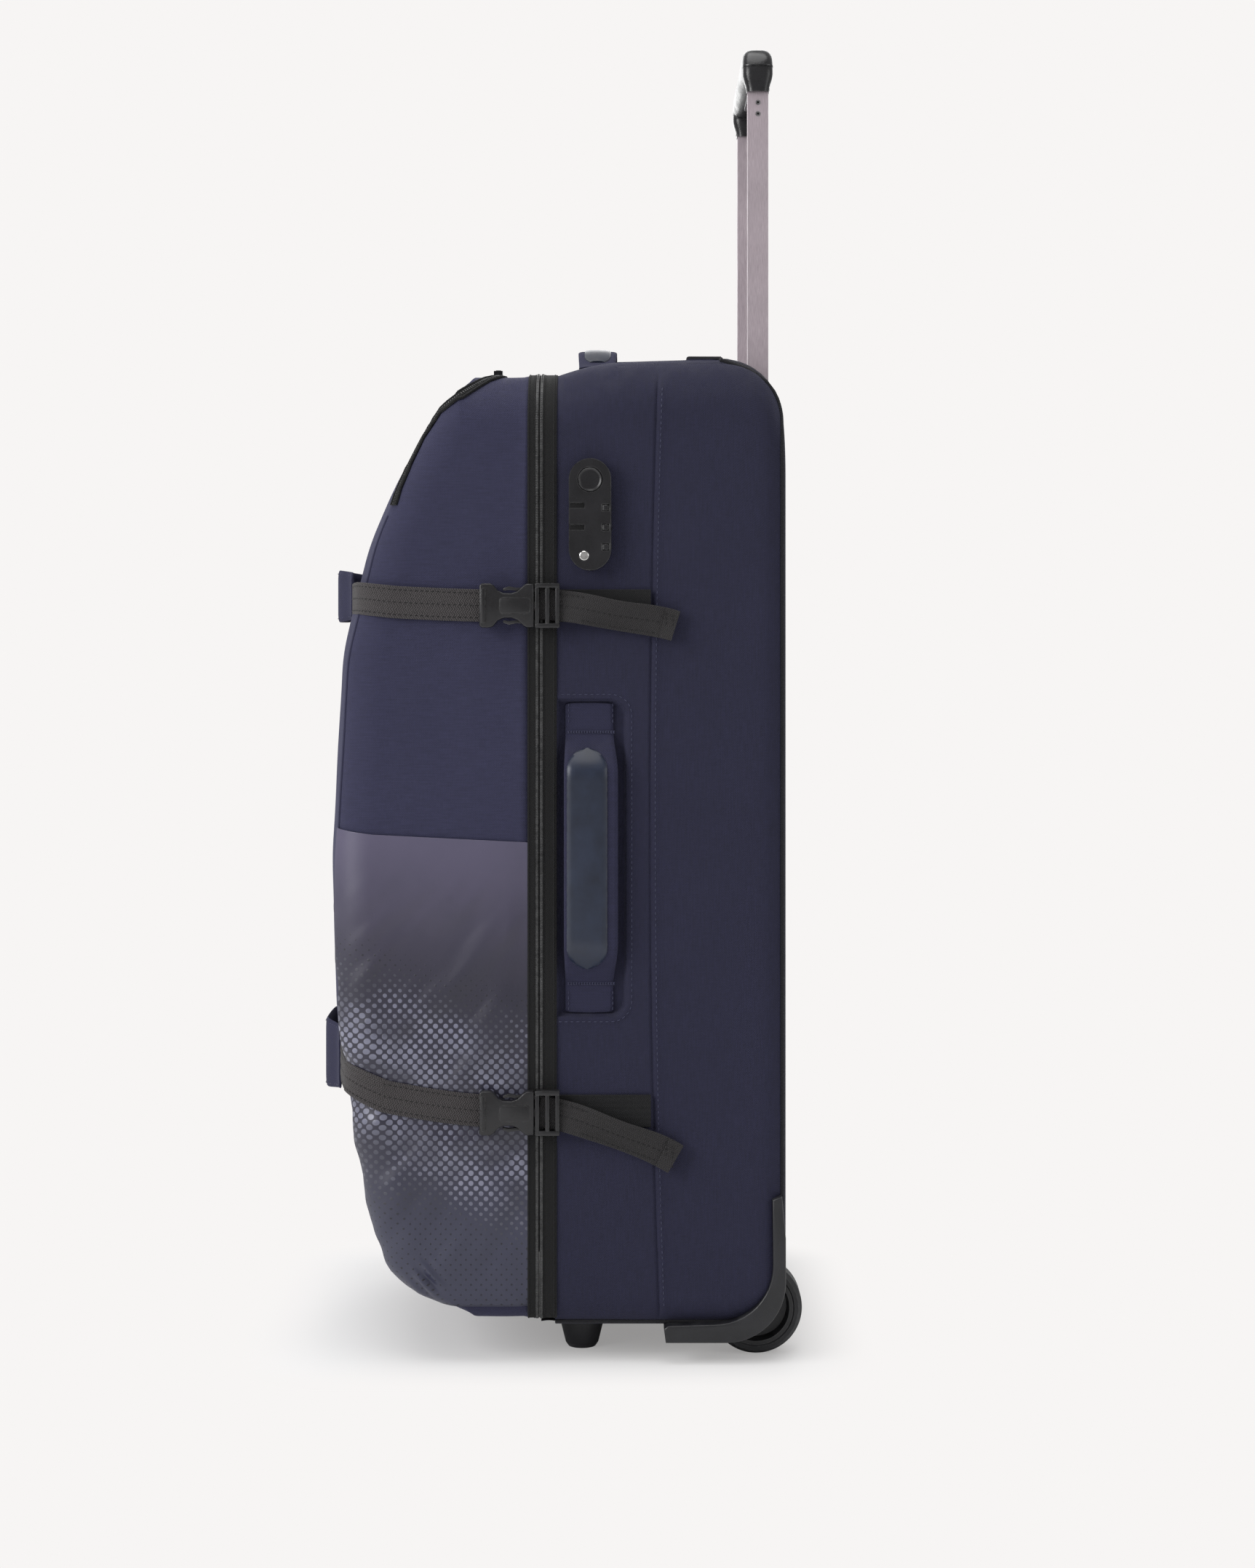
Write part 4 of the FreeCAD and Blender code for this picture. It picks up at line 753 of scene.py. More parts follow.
def insetFromSide(y, z):
    # how far a place lies inside the tub's side outline
    start, heel = tub["back"] - tub["shoulder"], tub["back"] - tub["heel"]
    if y > start and z > tub["top"] - tub["shoulder"]:
        return tub["shoulder"] - math.hypot(y - start, z - tub["top"] + tub["shoulder"])
    if y > heel and z < tub["low"] + tub["heel"]:
        return tub["heel"] - math.hypot(y - heel, z - tub["low"] - tub["heel"])
    return min(tub["back"] - y, tubHigh(y) - z + 3 if z > 700 else 99, z - tub["low"] + 99)


def seamY(u):
    # where the side cloth ends and the back cloth begins
    ends = loopLengths(tub)
    folded = min(u, 2 * ends[4] - u)
    if folded >= ends[3]:
        return tub["shoulderSeam"]
    if folded <= ends[1]:
        return tub["back"] - tub["turned"]
    low, high = tub["shoulderSeam"], tub["back"] - tub["gather"]
    for _ in range(24):
        middle = (low + high) / 2
        if insetFromSide(middle, tubPoint(folded, middle).z) > tub["gather"]:
            low = middle
        else:
            high = middle
    return low


def sideBow(z):
    return -tub["bow"] * (1 - ((z - tub["middle"]) / tub["bowHalf"]) ** 2)


def tubSkin(u, y, lift=0.0):
    # the side and top cloth: rows follow the bowed seam, cloth dips at seams and into the recess
    end = seamY(u)
    rear = tub["back"] - tub["turned"]
    place = tub["front"] + (y - tub["front"]) * (end - tub["front"]) / (rear - tub["front"])
    x, z, nx, nz = loopPoint(tub, u, tubHalf(place), tubLow(place), tubHigh(place))
    side = ease(0.6, 1, abs(nx))
    bow = sideBow(z) * side * ease(58, tub["seam"], y) * (1 - ease(tub["seam"], 130, y))
    place += bow
    depth = -0.7 + 0.6 * ripple((place, z, x * 0.4), 70, 3) + 0.25 * ripple((place, z, x), 26, 9)
    depth -= 1.4 * math.exp(-((y - tub["seam"]) / 1.2) ** 2) * side
    depth += 0.55 * math.exp(-((y - tub["seam"] - 4) / 3.0) ** 2) * side
    if x > 0 and recess["low"] - 12 < z < recess["high"] + 12 and place < recess["back"] + 12:
        r = recess["corner"]
        dy = max(0, place - (recess["back"] - r))
        dz = max(0,
                 abs(z - (recess["low"] + recess["high"]) / 2) - ((recess["high"] - recess["low"]) / 2 - r))
        inside = min(r - math.hypot(dy, dz), place - tub["front"] - 0.5)
        depth -= recess["depth"] * ease(0, recess["wall"],
                                        inside) - 0.5 * math.exp(-((inside + 2.5) / 2.2) ** 2)
    shrink = 1 - ease(rear - 3, rear, y)
    return Vector((x + nx * (depth * shrink + lift), place, z + nz * (depth * shrink + lift)))


tubTurn = loopLengths(tub)
bottomEdge = mix(tubTurn[0], tubTurn[1], 0.42)
wrapColumns = stops(bottomEdge, 2 * tubTurn[4] - bottomEdge, 7, (bottomEdge, bottomEdge + 30, 4),
                    (uAt(tub, 262), uAt(tub, 288), 1.5), (uAt(tub, 288), uAt(tub, 494), 6),
                    (uAt(tub, 494), uAt(tub, 520), 1.5), (tubTurn[2] - 4, tubTurn[3] + 4, 3.5),
                    (2 * tubTurn[4] - tubTurn[3] - 4, 2 * tubTurn[4] - tubTurn[2] + 4, 3.5))
wrapRows = stops(tub["front"], tub["back"] - tub["turned"], 6, (tub["front"], 44, 1.6), (44, 62, 1.2),
                 (74, 92, 1.0), (166, 178, 2.5))
bm = newShape()
addGrid(bm, wrapColumns, wrapRows, tubSkin)
outwards(bm, (0, 80, 400))
tubTree = surfaceOf(bm)
# the tub wears the darker, shaded copy of the navy cloth: painted shade
tubWrap = meshPiece("tubWrap", bm, finishes["navyTubShaded"], "root", flatUv=False)
addModifier(tubWrap, "SOLIDIFY", thickness=cloth["shell"] * mm, offset=-1)
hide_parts("tub_side_right", "tub_side_left", "tub_top_panel")


def baseSkin(u, y):
    x, y, z = tubPoint(abs(u), y)
    return Vector((math.copysign(x, u), y, z))


bm = newShape()
addGrid(bm, stops(-bottomEdge, bottomEdge, 9), stops(tub["front"], tub["back"] - tub["turned"], 9,
                                                     (130, 178, 3)), baseSkin)
outwards(bm, (0, 80, 400))
tubBase = meshPiece("tubBase", bm, finishes["back"], "root", flatUv=False)
addModifier(tubBase, "SOLIDIFY", thickness=cloth["shell"] * mm, offset=-1)
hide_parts("tub_bottom_panel")


def backSkin(u, row):
    # from the seam over the rounded edge (rows 0 to 1), then in over the flat back (rows 1 to 2)
    start, end = seamY(u), tub["back"]
    if row <= 1:
        spot = tubPoint(u, mix(start, end, math.sin(row * math.pi / 2)))
        spot.y -= 0.5 * math.sin(math.pi * row)
        return spot
    rim = tubPoint(u, end)
    low, high = tub["low"] + tub["heel"], tub["top"] - tub["shoulder"]
    target = Vector((0, end, clamp(rim.z, low + 150, high - 150)))
    spot = rim.lerp(target, row - 1)
    spot.y -= 0.8 * ease(1, 1.1, row) - 0.5 * ripple((spot.x, spot.z, 0), 80, 5)
    return spot


bm = newShape()
turnColumns = stops(0, 2 * tubTurn[4], 9, (tubTurn[0], tubTurn[1], 4), (tubTurn[2] - 30, tubTurn[3] + 10, 4),
                    (2 * tubTurn[4] - tubTurn[3] - 10, 2 * tubTurn[4] - tubTurn[2] + 30, 4),
                    (2 * tubTurn[4] - tubTurn[1], 2 * tubTurn[4] - tubTurn[0], 4))
addGrid(bm, turnColumns, stops(0, 1, 0.09) + stops(1, 2, 0.09)[1:], backSkin)
bmesh.ops.remove_doubles(bm, verts=bm.verts, dist=cloth["weld"] * mm)
outwards(bm, (0, 80, 400))
backTree = surfaceOf(bm)
tubBack = meshPiece("tubBack", bm, finishes["back"], "root")
addModifier(tubBack, "SOLIDIFY", thickness=cloth["back"] * mm, offset=-1)
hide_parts("tub_back_panel")
print("tub shell")


def frontLine(share):
    # the lid's fullest front at a share of its height, eased between the marks
    depth = sum(along(lid["profile"], clamp(share + shift)) for shift in (-0.016, -0.008, 0, 0.008,
                                                                          0.016)) / 5
    return lid["zipLine"] + (lid["front"] - lid["zipLine"]) * depth


def lidPlan(z):
    # at one height: front, start of the round corner, end of it, corner radius, crown
    front = frontLine((z - lid["low"]) / (lid["high"] - lid["low"]))
    rear = lid["edge"] + lid["overlap"]
    crown = lid["crown"] * min(1, (rear - front) / lid["crownReach"])
    r = min(lid["corner"], (rear - front - crown) / 3)
    return front, front + crown + r, front + crown * lid["crownEdge"], r


def lidReach(z):
    # how far the lid stands out sideways at one height
    for middle, r, sign in ((lid["high"] - lid["roundHigh"], lid["roundHigh"], 1),
                            (lid["low"] + lid["roundLow"], lid["roundLow"], -1)):
        over = (z - middle) * sign
        if over > 0:
            return lid["half"] - r + math.sqrt(max(0, r * r - over * over))
    return lid["half"]


def lidFace(x, z):
    # the lid's front as a height over x and z
    front, sideEnd, cornerEnd, r = lidPlan(z)
    x = abs(x)
    flat = lid["half"] - r
    if x <= flat:
        return front + (cornerEnd - front) * (x / flat) ** 2
    share = clamp((x - flat) / r)
    return cornerEnd + (sideEnd - cornerEnd) * (1 - math.sqrt(max(0, 1 - share * share)))


def lidSkin(share, z, lift=0.0):
    # 0 to 1 along a side from the zip, 1 to 2 round the corner, 2 to 3 to the middle of the front
    front, sideEnd, cornerEnd, r = lidPlan(z)
    if share <= 1:
        x, y, normal = lid["half"], mix(lid["edge"], sideEnd, share), (1, 0)
    elif share <= 2:
        angle = (share - 1) * math.pi / 2
        x, y = lid["half"] - r * (1 - math.cos(angle)), sideEnd + (cornerEnd - sideEnd) * math.sin(angle)
        normal = (math.cos(angle), -math.sin(angle))
    else:
        flat = lid["half"] - r
        x = flat * (3 - share)
        y, normal = front + (cornerEnd - front) * (x / flat) ** 2, (0, -1)
    reach = lidReach(z)
    return Vector((min(x, reach) + normal[0] * lift, y + normal[1] * lift, z))


def lidRing(u, ring):
    # rings 0 to 1 along the side wall, then ring - 1 mm in over the front
    x, z, nx, nz = loopPoint(lid, u)
    wallEnd = lidFace(x, clamp(z, lid["low"] + 0.01, lid["high"] - 0.01))
    if ring <= 1:
        y = mix(lid["edge"], wallEnd, ring)
        lift = -0.9 + 0.9 * ripple((y, z, x * 0.3), 60, 12) + 0.3 * ripple((y, z, x), 24, 4)
        lift *= ease(0, 0.12, ring)
        return Vector((x + nx * lift, y, z + nz * lift))
    distance = ring - 1
    low, high = lid["low"] + lid["half"], lid["high"] - lid["half"]
    target = Vector((0, 0, clamp(z, low, high)))
    spot = Vector((x, 0, z)).lerp(target, distance / lid["half"])
    y = lidFace(spot.x, spot.z)
    rim = 1 - ease(0, 10, distance)
    lift = -0.9 + 0.9 * ripple((y, spot.z, spot.x * 0.3), 60, 12) + 1.2 * ripple((spot.x, spot.z, 0), 90,
                                                                                 30) * (1 - rim)
    return Vector((spot.x + nx * lift * rim, y - lift * (1 - rim) * 0.8, spot.z + nz * lift * rim))


lidTurn = loopLengths(lid)
lidColumns = stops(0, 2 * lidTurn[4], 9, (lidTurn[0], lidTurn[1], 3), (lidTurn[1], lidTurn[2], 6),
                   (lidTurn[2], lidTurn[3], 3), (2 * lidTurn[4] - lidTurn[3], 2 * lidTurn[4] - lidTurn[2],
                                                 3),
                   (2 * lidTurn[4] - lidTurn[2], 2 * lidTurn[4] - lidTurn[1], 6),
                   (2 * lidTurn[4] - lidTurn[1], 2 * lidTurn[4] - lidTurn[0], 3))
cornerRings = [1 + 26 * (1 - math.cos(math.radians(turn))) for turn in range(8, 91, 8)]
lidRings = stops(0, 1, 0.06) + cornerRings + stops(cornerRings[-1], 1 + lid["half"], 8)[1:]
bm = newShape()
addGrid(bm, lidColumns, lidRings, lidRing)
bmesh.ops.remove_doubles(bm, verts=bm.verts, dist=cloth["weld"] * mm)
outwards(bm, (0, -60, 400))
lidTree = surfaceOf(bm)
# the lid wears the lighter, lit copy of the navy cloth: painted light
lidShell = meshPiece("lidShell", bm, finishes["navyLidLit"], "lid")
addModifier(lidShell, "SOLIDIFY", thickness=cloth["shell"] * mm, offset=-1)
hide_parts("lid_side_right", "lid_side_left", "lid_top_panel", "lid_bottom_panel",
            "lid_front_panel")
print("lid shell")


inside = {"depth": 5.4, "middle": 398, "reach": 340}


def tubInner(u, row):
    # the lining: back along the walls (rows 0 to 1), then in over the board (rows 1 to 2)
    end = span("tub_lining")[1].y - 0.4
    y = mix(tub["front"] + 0.8, end, min(1, row))
    x, z, nx, nz = loopPoint(tub, u, tub["half"], tub["low"], tubHigh(y))
    depth = inside["depth"] + 0.7 * ripple((x, y, z), 45, 2) * ease(0, 0.2, row)
    if x > 0:
        reach = min(recess["back"] + 8 - y, z - recess["low"] + 8, recess["high"] + 8 - z)
        depth += 5.6 * ease(0, 7, reach)
    spot = Vector((x - nx * depth, y, z - nz * depth))
    if row > 1:
        target = Vector((0, end, clamp(spot.z, tub["low"] + 165, tub["top"] - 165)))
        spot = spot.lerp(target, row - 1)
        spot.y += 0.3 * ripple((spot.x, spot.z, 0), 60, 8)
    return spot


def liningPiece(name, columns, rows, place, body, node, centre):
    bm = newShape()
    addGrid(bm, columns, rows, place)
    bmesh.ops.remove_doubles(bm, verts=bm.verts, dist=cloth["weld"] * mm)
    outwards(bm, centre)
    bmesh.ops.reverse_faces(bm, faces=bm.faces)
    piece = meshPiece(name, bm, finishes["lining"], body)
    addModifier(piece, "SOLIDIFY", thickness=cloth["lining"] * mm, offset=1)
    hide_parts(node)


liningPiece("tubLining", stops(0, 2 * tubTurn[4], 12, (uAt(tub, 255), uAt(tub, 285), 3),
                               (uAt(tub, 496), uAt(tub, 526), 3),
                               (tubTurn[2], tubTurn[3], 5)),
            stops(0, 1, 0.06) + stops(1, 2, 0.12)[1:], tubInner, "root", "tub_lining", (0, 70, 400))


def lidInner(u, ring):
    spot = lidRing(u, ring)
    inner = inside["depth"] + 0.6 * ripple(spot, 40, 6)
    spot.x *= 1 - inner / lid["half"]
    above = spot.z - inside["middle"]
    spot.z -= math.copysign(inner, above) * min(1, abs(above) / inside["reach"])
    spot.y += inner * 0.9 * ease(0.85, 1.02, ring)
    return spot


liningPiece("lidLining", stops(0, 2 * lidTurn[4], 12, (lidTurn[2], lidTurn[3], 5),
                               (lidTurn[0], lidTurn[1], 5)),
            [0.01] + stops(0.1, 1, 0.1) + cornerRings[1::3] + stops(cornerRings[-1], 1 + lid["half"],
                                                                    16)[1:], lidInner,
            "lid", "lid_lining", (0, -60, 400))
print("linings")

# zip: tapes, coils, flap lines; stations run up one side, over the top and down the other
zipper = {"from": 0.58, "tubCoil": (-9.7, -6.9), "lidCoil": (-13.1, -10.3), "pitch": 1.9,
          "tooth": (2.7, 1.15, 1.5)}


def zipPath(lift, step, y):
    path = []
    first = mix(tubTurn[0], tubTurn[1], zipper["from"])
    for u in stops(first, 2 * tubTurn[4] - first, step):
        x, z, nx, nz = loopPoint(tub, u)
        path.append((Vector((x + nx * lift, y, z + nz * lift)), Vector((nx, 0, nz))))
    return path


def tapeBand(name, low, high, lift, thick, material, body, nodes, extra=()):
    bm = newShape()
    addSweep(bm, zipPath(lift, 4, (low + high) / 2), flatSection(high - low, thick, 0.3))
    for edge, radius, up in extra:
        addSweep(bm, zipPath(up, 4, edge), roundSection(radius, 6))
    piece = meshPiece(name, bm, material, body, flatUv=False)
    if nodes:
        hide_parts(*nodes)
    return piece


tapeBand("tubZipTape", -9.95, tub["front"] + 1.6, -0.5, 1.3, finishes["tape"], "root",
         ["tub_zip_tape"],
         ((-6.3, 0.55, 0.7), (1.4, 0.8, 0.5)))
tapeBand("lidZipTape", lid["edge"] - 0.6, -10.05, -0.5, 1.3, finishes["tape"], "lid",
         ["lid_zip_tape"],
         ((-13.6, 0.55, 0.7), (lid["edge"] - 0.2, 0.8, 0.5)))


def coilRow(name, low, high, body, node, slant):
    bm = newShape()
    path = zipPath(1.0, zipper["pitch"], (low + high) / 2)
    spots = []
    for (first, up), (second, _) in zip(path, path[1:]):
        spots.append(((first + second) / 2, Vector((0, 1, 0)) + (second - first).normalized() * slant, up))
    addBeads(bm, spots, zipper["tooth"])
    addSweep(bm, zipPath(0.75, 6, (low + high) / 2), flatSection(2.2, 0.7, 0.3))
    piece = meshPiece(name, bm, finishes["coil"], body)
    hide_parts(node)


coilRow("tubZipCoil", *zipper["tubCoil"], "root", "tub_zip_coil", 0.18)
coilRow("lidZipCoil", *zipper["lidCoil"], "lid", "lid_zip_coil", -0.18)

# piping round the back seam and binding under the sides
piping = {"radius": 1.75, "binding": 1.4}
bm = newShape()
path = []
for u in stops(bottomEdge, 2 * tubTurn[4] - bottomEdge, 6, (tubTurn[2] - 60, tubTurn[3] + 6, 3),
               (2 * tubTurn[4] - tubTurn[3] - 6, 2 * tubTurn[4] - tubTurn[2] + 60, 3)):
    spot, normal = settle(backTree, tubPoint(u, seamY(u)), 0.2)
    path.append((spot, normal))
addSweep(bm, path, roundSection(piping["radius"], 8))
meshPiece("backPiping", bm, finishes["binding"], "root", flatUv=False)
for name, u in (("baseBindingRight", bottomEdge), ("baseBindingLeft", -bottomEdge)):
    bm = newShape()
    path = []
    for y in stops(tub["front"], tub["back"] - tub["turned"], 6):
        spot = tubPoint(abs(u), y)
        spot.x = math.copysign(spot.x, u)
        path.append((spot, Vector((math.copysign(0.7, u), 0, -0.7))))
    addSweep(bm, path, roundSection(piping["binding"], 8))
    meshPiece(name, bm, finishes["binding"], "root", flatUv=False)
print("zip and piping")

# topstitching on the tub's sides and round the recess
bm = newShape()
for fold in (1, -1):
    path = []
    for z in stops(44, 742, 8):
        u = uAt(tub, z) if fold > 0 else 2 * tubTurn[4] - uAt(tub, z)
        spot, normal = settle(tubTree, tubSkin(u, tub["seam"] + 3.7))
        path.append((spot, normal))
    addStitches(bm, path, lift=0.15)
meshPiece("sideStitches", bm, finishes["thread"], "root")

bm = newShape()
edge = [(y, z) for y, z in roundedOutline((tub["front"] - 20, recess["low"] - 3.6),
                                          (recess["back"] + 3.6, recess["high"] + 3.6),
                                          (recess["corner"] + 3, 0, 0, recess["corner"] + 3), 10)]
edge = [(tub["front"] + 2, recess["low"] - 3.6)] + [p for p in edge[edge.index(edge[-1]) - 10:]] + \
       [p for p in edge[:11]] + [(tub["front"] + 2, recess["high"] + 3.6)]
addStitches(bm, settlePath(tubTree, [Vector((tub["half"], y, z)) for y, z in edge], 3), lift=0.15)
meshPiece("recessStitches", bm, finishes["thread"], "root")
print("stitches")


def mirroredPath(path):
    return [(Vector((-spot.x, spot.y, spot.z)), Vector((-up.x, up.y, up.z))) + tuple(rest)
            for spot, up, *rest in path]


def wholePath(half):
    # a path that runs from the right to the middle, carried on to the left
    return half + mirroredPath(half[:-1])[::-1]


straps = {"wide": 25.0, "thick": 1.4, "upper": 585.0, "lower": 196.0, "upperRise": 6.0, "lowerRise": 24.0,
          "upperDroop": 17.0, "lowerDroop": 36.0,
          "socket": -52.0, "lift": 1.3}


def strapHalf(level, rise, step=0.05):
    # from the buckle's socket to the middle of the lid's front
    path = []
    share = (lid["edge"] - straps["socket"]) / (lid["edge"] - lidPlan(level)[1])
    while share < 3 + 1e-6:
        here = lidSkin(share, level + rise * ease(0.2, 1.9, share), straps["lift"])
        if share <= 1:
            up = Vector((1, 0, 0))
        elif share <= 2:
            angle = (share - 1) * math.pi / 2
            up = Vector((math.cos(angle), -math.sin(angle), 0))
        else:
            up = Vector((0.16 * (3 - share), -1, 0))
        path.append((here, up.normalized()))
        share = share + step if share < 3 else 4
        share = 3 if 3 < share < 3 + step else share
    return path


bm = newShape()
threads = newShape()
for level, rise in ((straps["upper"], straps["upperRise"]), (straps["lower"], straps["lowerRise"])):
    path = wholePath(strapHalf(level, rise))
    addSweep(bm, path, flatSection(straps["wide"], straps["thick"], 0.4))
    for offset in (-9.5, 0, 9.5):
        line = [(spot + Vector((0, 0, offset)) + up * straps["thick"], up) for spot, up in path]
        addStitches(threads, line, (2.9, 1.0, 0.7), 1.3)
piece = meshPiece("frontStraps", bm, finishes["webbing"], "lid", flatUv=False)
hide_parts("front_straps")
meshPiece("frontStrapStitches", threads, finishes["darkThread"], "lid")

anchors = {"front": 3.0, "end": 76.0, "lift": 0.8}
bm = newShape()
for side in (1, -1):
    for level in (straps["upper"], straps["lower"]):
        path = [(Vector((side * (tub["half"] + anchors["lift"]), y, level)), Vector((side, 0, 0)))
                for y in stops(anchors["front"], anchors["end"], 8)]
        addSweep(bm, path, flatSection(straps["wide"], straps["thick"], 0.4))
piece = meshPiece("strapAnchors", bm, finishes["anchor"], "root", flatUv=False)
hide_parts("strap_anchors")

# side-release buckles
buckle = {"inner": 172.8, "outer": 184.0, "half": 17.0, "tailX": 176.6, "tailRise": 1.5,
          "plugFront": -12.9, "plugBack": 6.0, "tailEnd": 98.0}


def socketShape(bm, side, level):
    low, high = (buckle["inner"], buckle["outer"]) if side > 0 else (-buckle["outer"], -buckle["inner"])
    waist = [(-55.5, 15.5), (-53.5, 17), (-47, 17), (-44.5, 15.5), (-41.5, 11.6), (-37, 9.6), (-31, 9.4),
             (-26.5, 11),
             (-22, 15.2), (-19.5, 16.8), (-14.7, 16.8), (-13.7, 15.8)]
    outline = [(y, level + z) for y, z in waist] + [(y, level - z) for y, z in reversed(waist)]
    addPlate(bm, outline, mix(low, high, 0.08), mix(low, high, 0.92), "x", soft=1.3, segments=3)
    face = high if side > 0 else low
    edge = sorted((face - side * 1.2, face + side * 0.2))
    addPlate(bm, roundedOutline((-40, level - 6.2), (-16.5, level + 6.2), 2.5, 3), edge[0], edge[1], "x",
             soft=0.5)
    addPlate(bm, roundedOutline((-54, level - 13.5), (-50.8, level + 13.5), 1.2, 3), edge[0], edge[1], "x",
             soft=0.5)


def plugShape(bm, side, level):
    low, high = sorted((side * buckle["inner"], side * buckle["outer"]))
    half = buckle["half"]
    for z in (level - half + 1.6, level + half - 1.6):
        addBlock(bm, (low + 1, buckle["plugFront"], z - 1.8), (high - 1, buckle["plugBack"], z + 1.8), 0.9,
                 2)
    for y in (buckle["plugFront"] + 1.6, -3.4, buckle["plugBack"] - 1.7):
        addBlock(bm, (low + 2, y - 1.7, level - half + 2), (high - 2, y + 1.7, level + half - 2), 0.9, 2)
    addBlock(bm, (low + 4, -37, level - 3.2), (high - 4, buckle["plugFront"] + 1, level + 3.2), 0.8, 2)
    for turn in (1, -1):   # the two spring arms in the socket's notches
        arm = [(-12.9, 13.2), (-20, 14.2), (-27, 13.6), (-33, 14.8), (-37.4, 13.2), (-37.4, 11.2),
               (-33, 11.9),
               (-27, 11.2), (-20, 11.4), (-12.9, 10.4)]
        addPlate(bm, [(y, level + turn * z) for y, z in arm], low + 3.4, high - 3.4, "x", soft=0.6)


def tailPath(side, level, droop):
    # out of the plug, then drooping with a slow twist to its folded end
    path = []
    for y in stops(buckle["plugFront"] + 3, buckle["tailEnd"] - 3, 2.5):
        share = clamp((y - buckle["plugFront"]) / (buckle["tailEnd"] - buckle["plugFront"]))
        x = buckle["tailX"] + 2.4 * math.sin(share * 5.2) * ease(0.1, 0.4, share) + 1.2 * share
        z = level + buckle["tailRise"] - droop * (0.45 * share + 0.55 * share ** 2) * 1.12 + 1.2 * math.sin(share * 9) * share
        tilt = 0.3 * math.sin(share * 6 + 1.2) * ease(0.1, 0.4, share)
        path.append((Vector((side * x, y, z)), Vector((side, 0, tilt)).normalized()))
    return path


for side, hand in ((1, "right"), (-1, "left")):
    for level, name, droop in ((straps["upper"], "upper", straps["upperDroop"]),
                               (straps["lower"], "lower", straps["lowerDroop"])):
        bm = newShape()
        plugShape(bm, side, level)
        plug = meshPiece(f"bucklePlug_{name}_{hand}", bm, finishes["buckle"], f"plug_{name}_{hand}")
        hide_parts(f"buckle_plug_{name}_{hand}")
        path = tailPath(side, level, droop)
        bm = newShape()
        addSweep(bm, path, flatSection(straps["wide"] - 1, straps["thick"], 0.4))
        end = [(spot + up * straps["thick"], up) for spot, up in path[-5:]]
        addSweep(bm, end, flatSection(straps["wide"] - 1, straps["thick"], 0.4))
        # the tail's darker webbing is painted shade
        meshPiece(f"strapTail_{name}_{hand}", bm, finishes["tail"], f"plug_{name}_{hand}",
                  flatUv=False)
        bm = newShape()
        for offset in (-9.0, 0, 9.0):
            line = [(spot + Vector((0, 0, offset)) + up * straps["thick"], up) for spot, up in path[6:-4]]
            addStitches(bm, line, (2.9, 1.0, 0.7), 1.3)
        for station in (-4, -2):
            spot, up = path[station]
            line = [(spot + Vector((0, 0, offset)) + up * straps["thick"] * 2, up) for offset in (-9, 9)]
            addStitches(bm, line, (2.6, 0.9, 0.7), 1.0)
        meshPiece(f"tailStitches_{name}_{hand}", bm, finishes["darkThread"], f"plug_{name}_{hand}")

bm = newShape()
for side in (1, -1):
    for level in (straps["upper"], straps["lower"]):
        socketShape(bm, side, level)
piece = meshPiece("buckleSockets", bm, finishes["buckle"], "lid")
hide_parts("buckle_sockets")
print("straps and buckles")

# coated pockets low on the lid's sides
pocket = {"low": 45.0, "high": 408.0, "lift": 1.1}


def pocketFold(y, z):
    # slack cloth: slanting folds that run down towards the zip, and a pucker at the foot
    run = (y + 100) * 0.62 + (z - 220) * 0.78
    across = (z - 220) * 0.62 - (y + 100) * 0.78
    fade = ease(pocket["low"], 90, z) * (1 - ease(330, 400, z))
    folds = 3.2 * ripple((run * 0.3, across * 1.5, 0), 38, 21) + 1.4 * ripple((run * 0.5, across * 2.2, 5),
                                                                              24, 4)
    pucker = 2.2 * math.exp(-(((y + 96) / 9) ** 2 + ((z - 64) / 12) ** 2)) * math.sin((y + z) * 0.5)
    return folds * fade + pucker


def pocketSkin(share, z):
    y = lidSkin(share, z).y
    strapLevel = straps["lower"] + straps["lowerRise"] * ease(0.2, 1.9, share)
    free = ease(10, 26, abs(z - strapLevel))
    lift = pocket["lift"] + 1.6 * ease(pocket["high"], pocket["high"] - 60, z) * ease(0, 0.3, share)
    lift = mix(0.5, lift + max(-1.6, pocketFold(y, z)), ease(0, 0.15, share) * free)
    spot = lidSkin(share, z, lift)
    spot.z += (share - 0.9) * 6 * ease(pocket["high"] - 60, pocket["high"], z)
    return spot


def pocketFlat(share, z):
    # the printed pattern lies flat before the cloth is bent
    spot = lidSkin(min(share, 1), z)
    return (spot.y - max(0, share - 1) * 40, z)


for name, turn in (("coatedPocketRight", 1), ("coatedPocketLeft", -1)):
    bm = newShape()
    addGrid(bm, stops(0, lid["seam"], 0.012), stops(pocket["low"], pocket["high"], 2.4), pocketSkin,
            pocketFlat)
    if turn < 0:
        bmesh.ops.scale(bm, vec=(-1, 1, 1), verts=bm.verts)
    outwards(bm, (0, -60, 220))
    piece = meshPiece(name, bm, finishes["coated"], "lid", flatUv=False)
    addModifier(piece, "SOLIDIFY", thickness=cloth["film"] * mm, offset=-1)
    if turn > 0:
        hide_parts("coated_pockets")
print("coated pockets")

# front pocket zip: over the top and down both corners
pocketZip = {"wide": 7.0, "marks": [(-42.0, 766.0), (-52.0, 762.0), (-68.0, 751.0), (-87.0, 737.0),
                                    (-101.0, 716.0),
                                    (-111.0, 695.0), (-119.0, 676.0), (-123.0, 663.0)]}
half = []
for (y0, z0), (y1, z1) in zip(pocketZip["marks"], pocketZip["marks"][1:]):
    for i in range(6):
        half.append((mix(y0, y1, i / 6), mix(z0, z1, i / 6)))
half.append(pocketZip["marks"][-1])
corner = []
for y, z in half:
    front, sideEnd, cornerEnd, r = lidPlan(z)
    angle = math.asin(clamp((sideEnd - y) / max(1, sideEnd - cornerEnd)))
    x = min(lid["half"] - r * (1 - math.cos(angle)), lidReach(z))
    corner.append(Vector((x, y, z)))
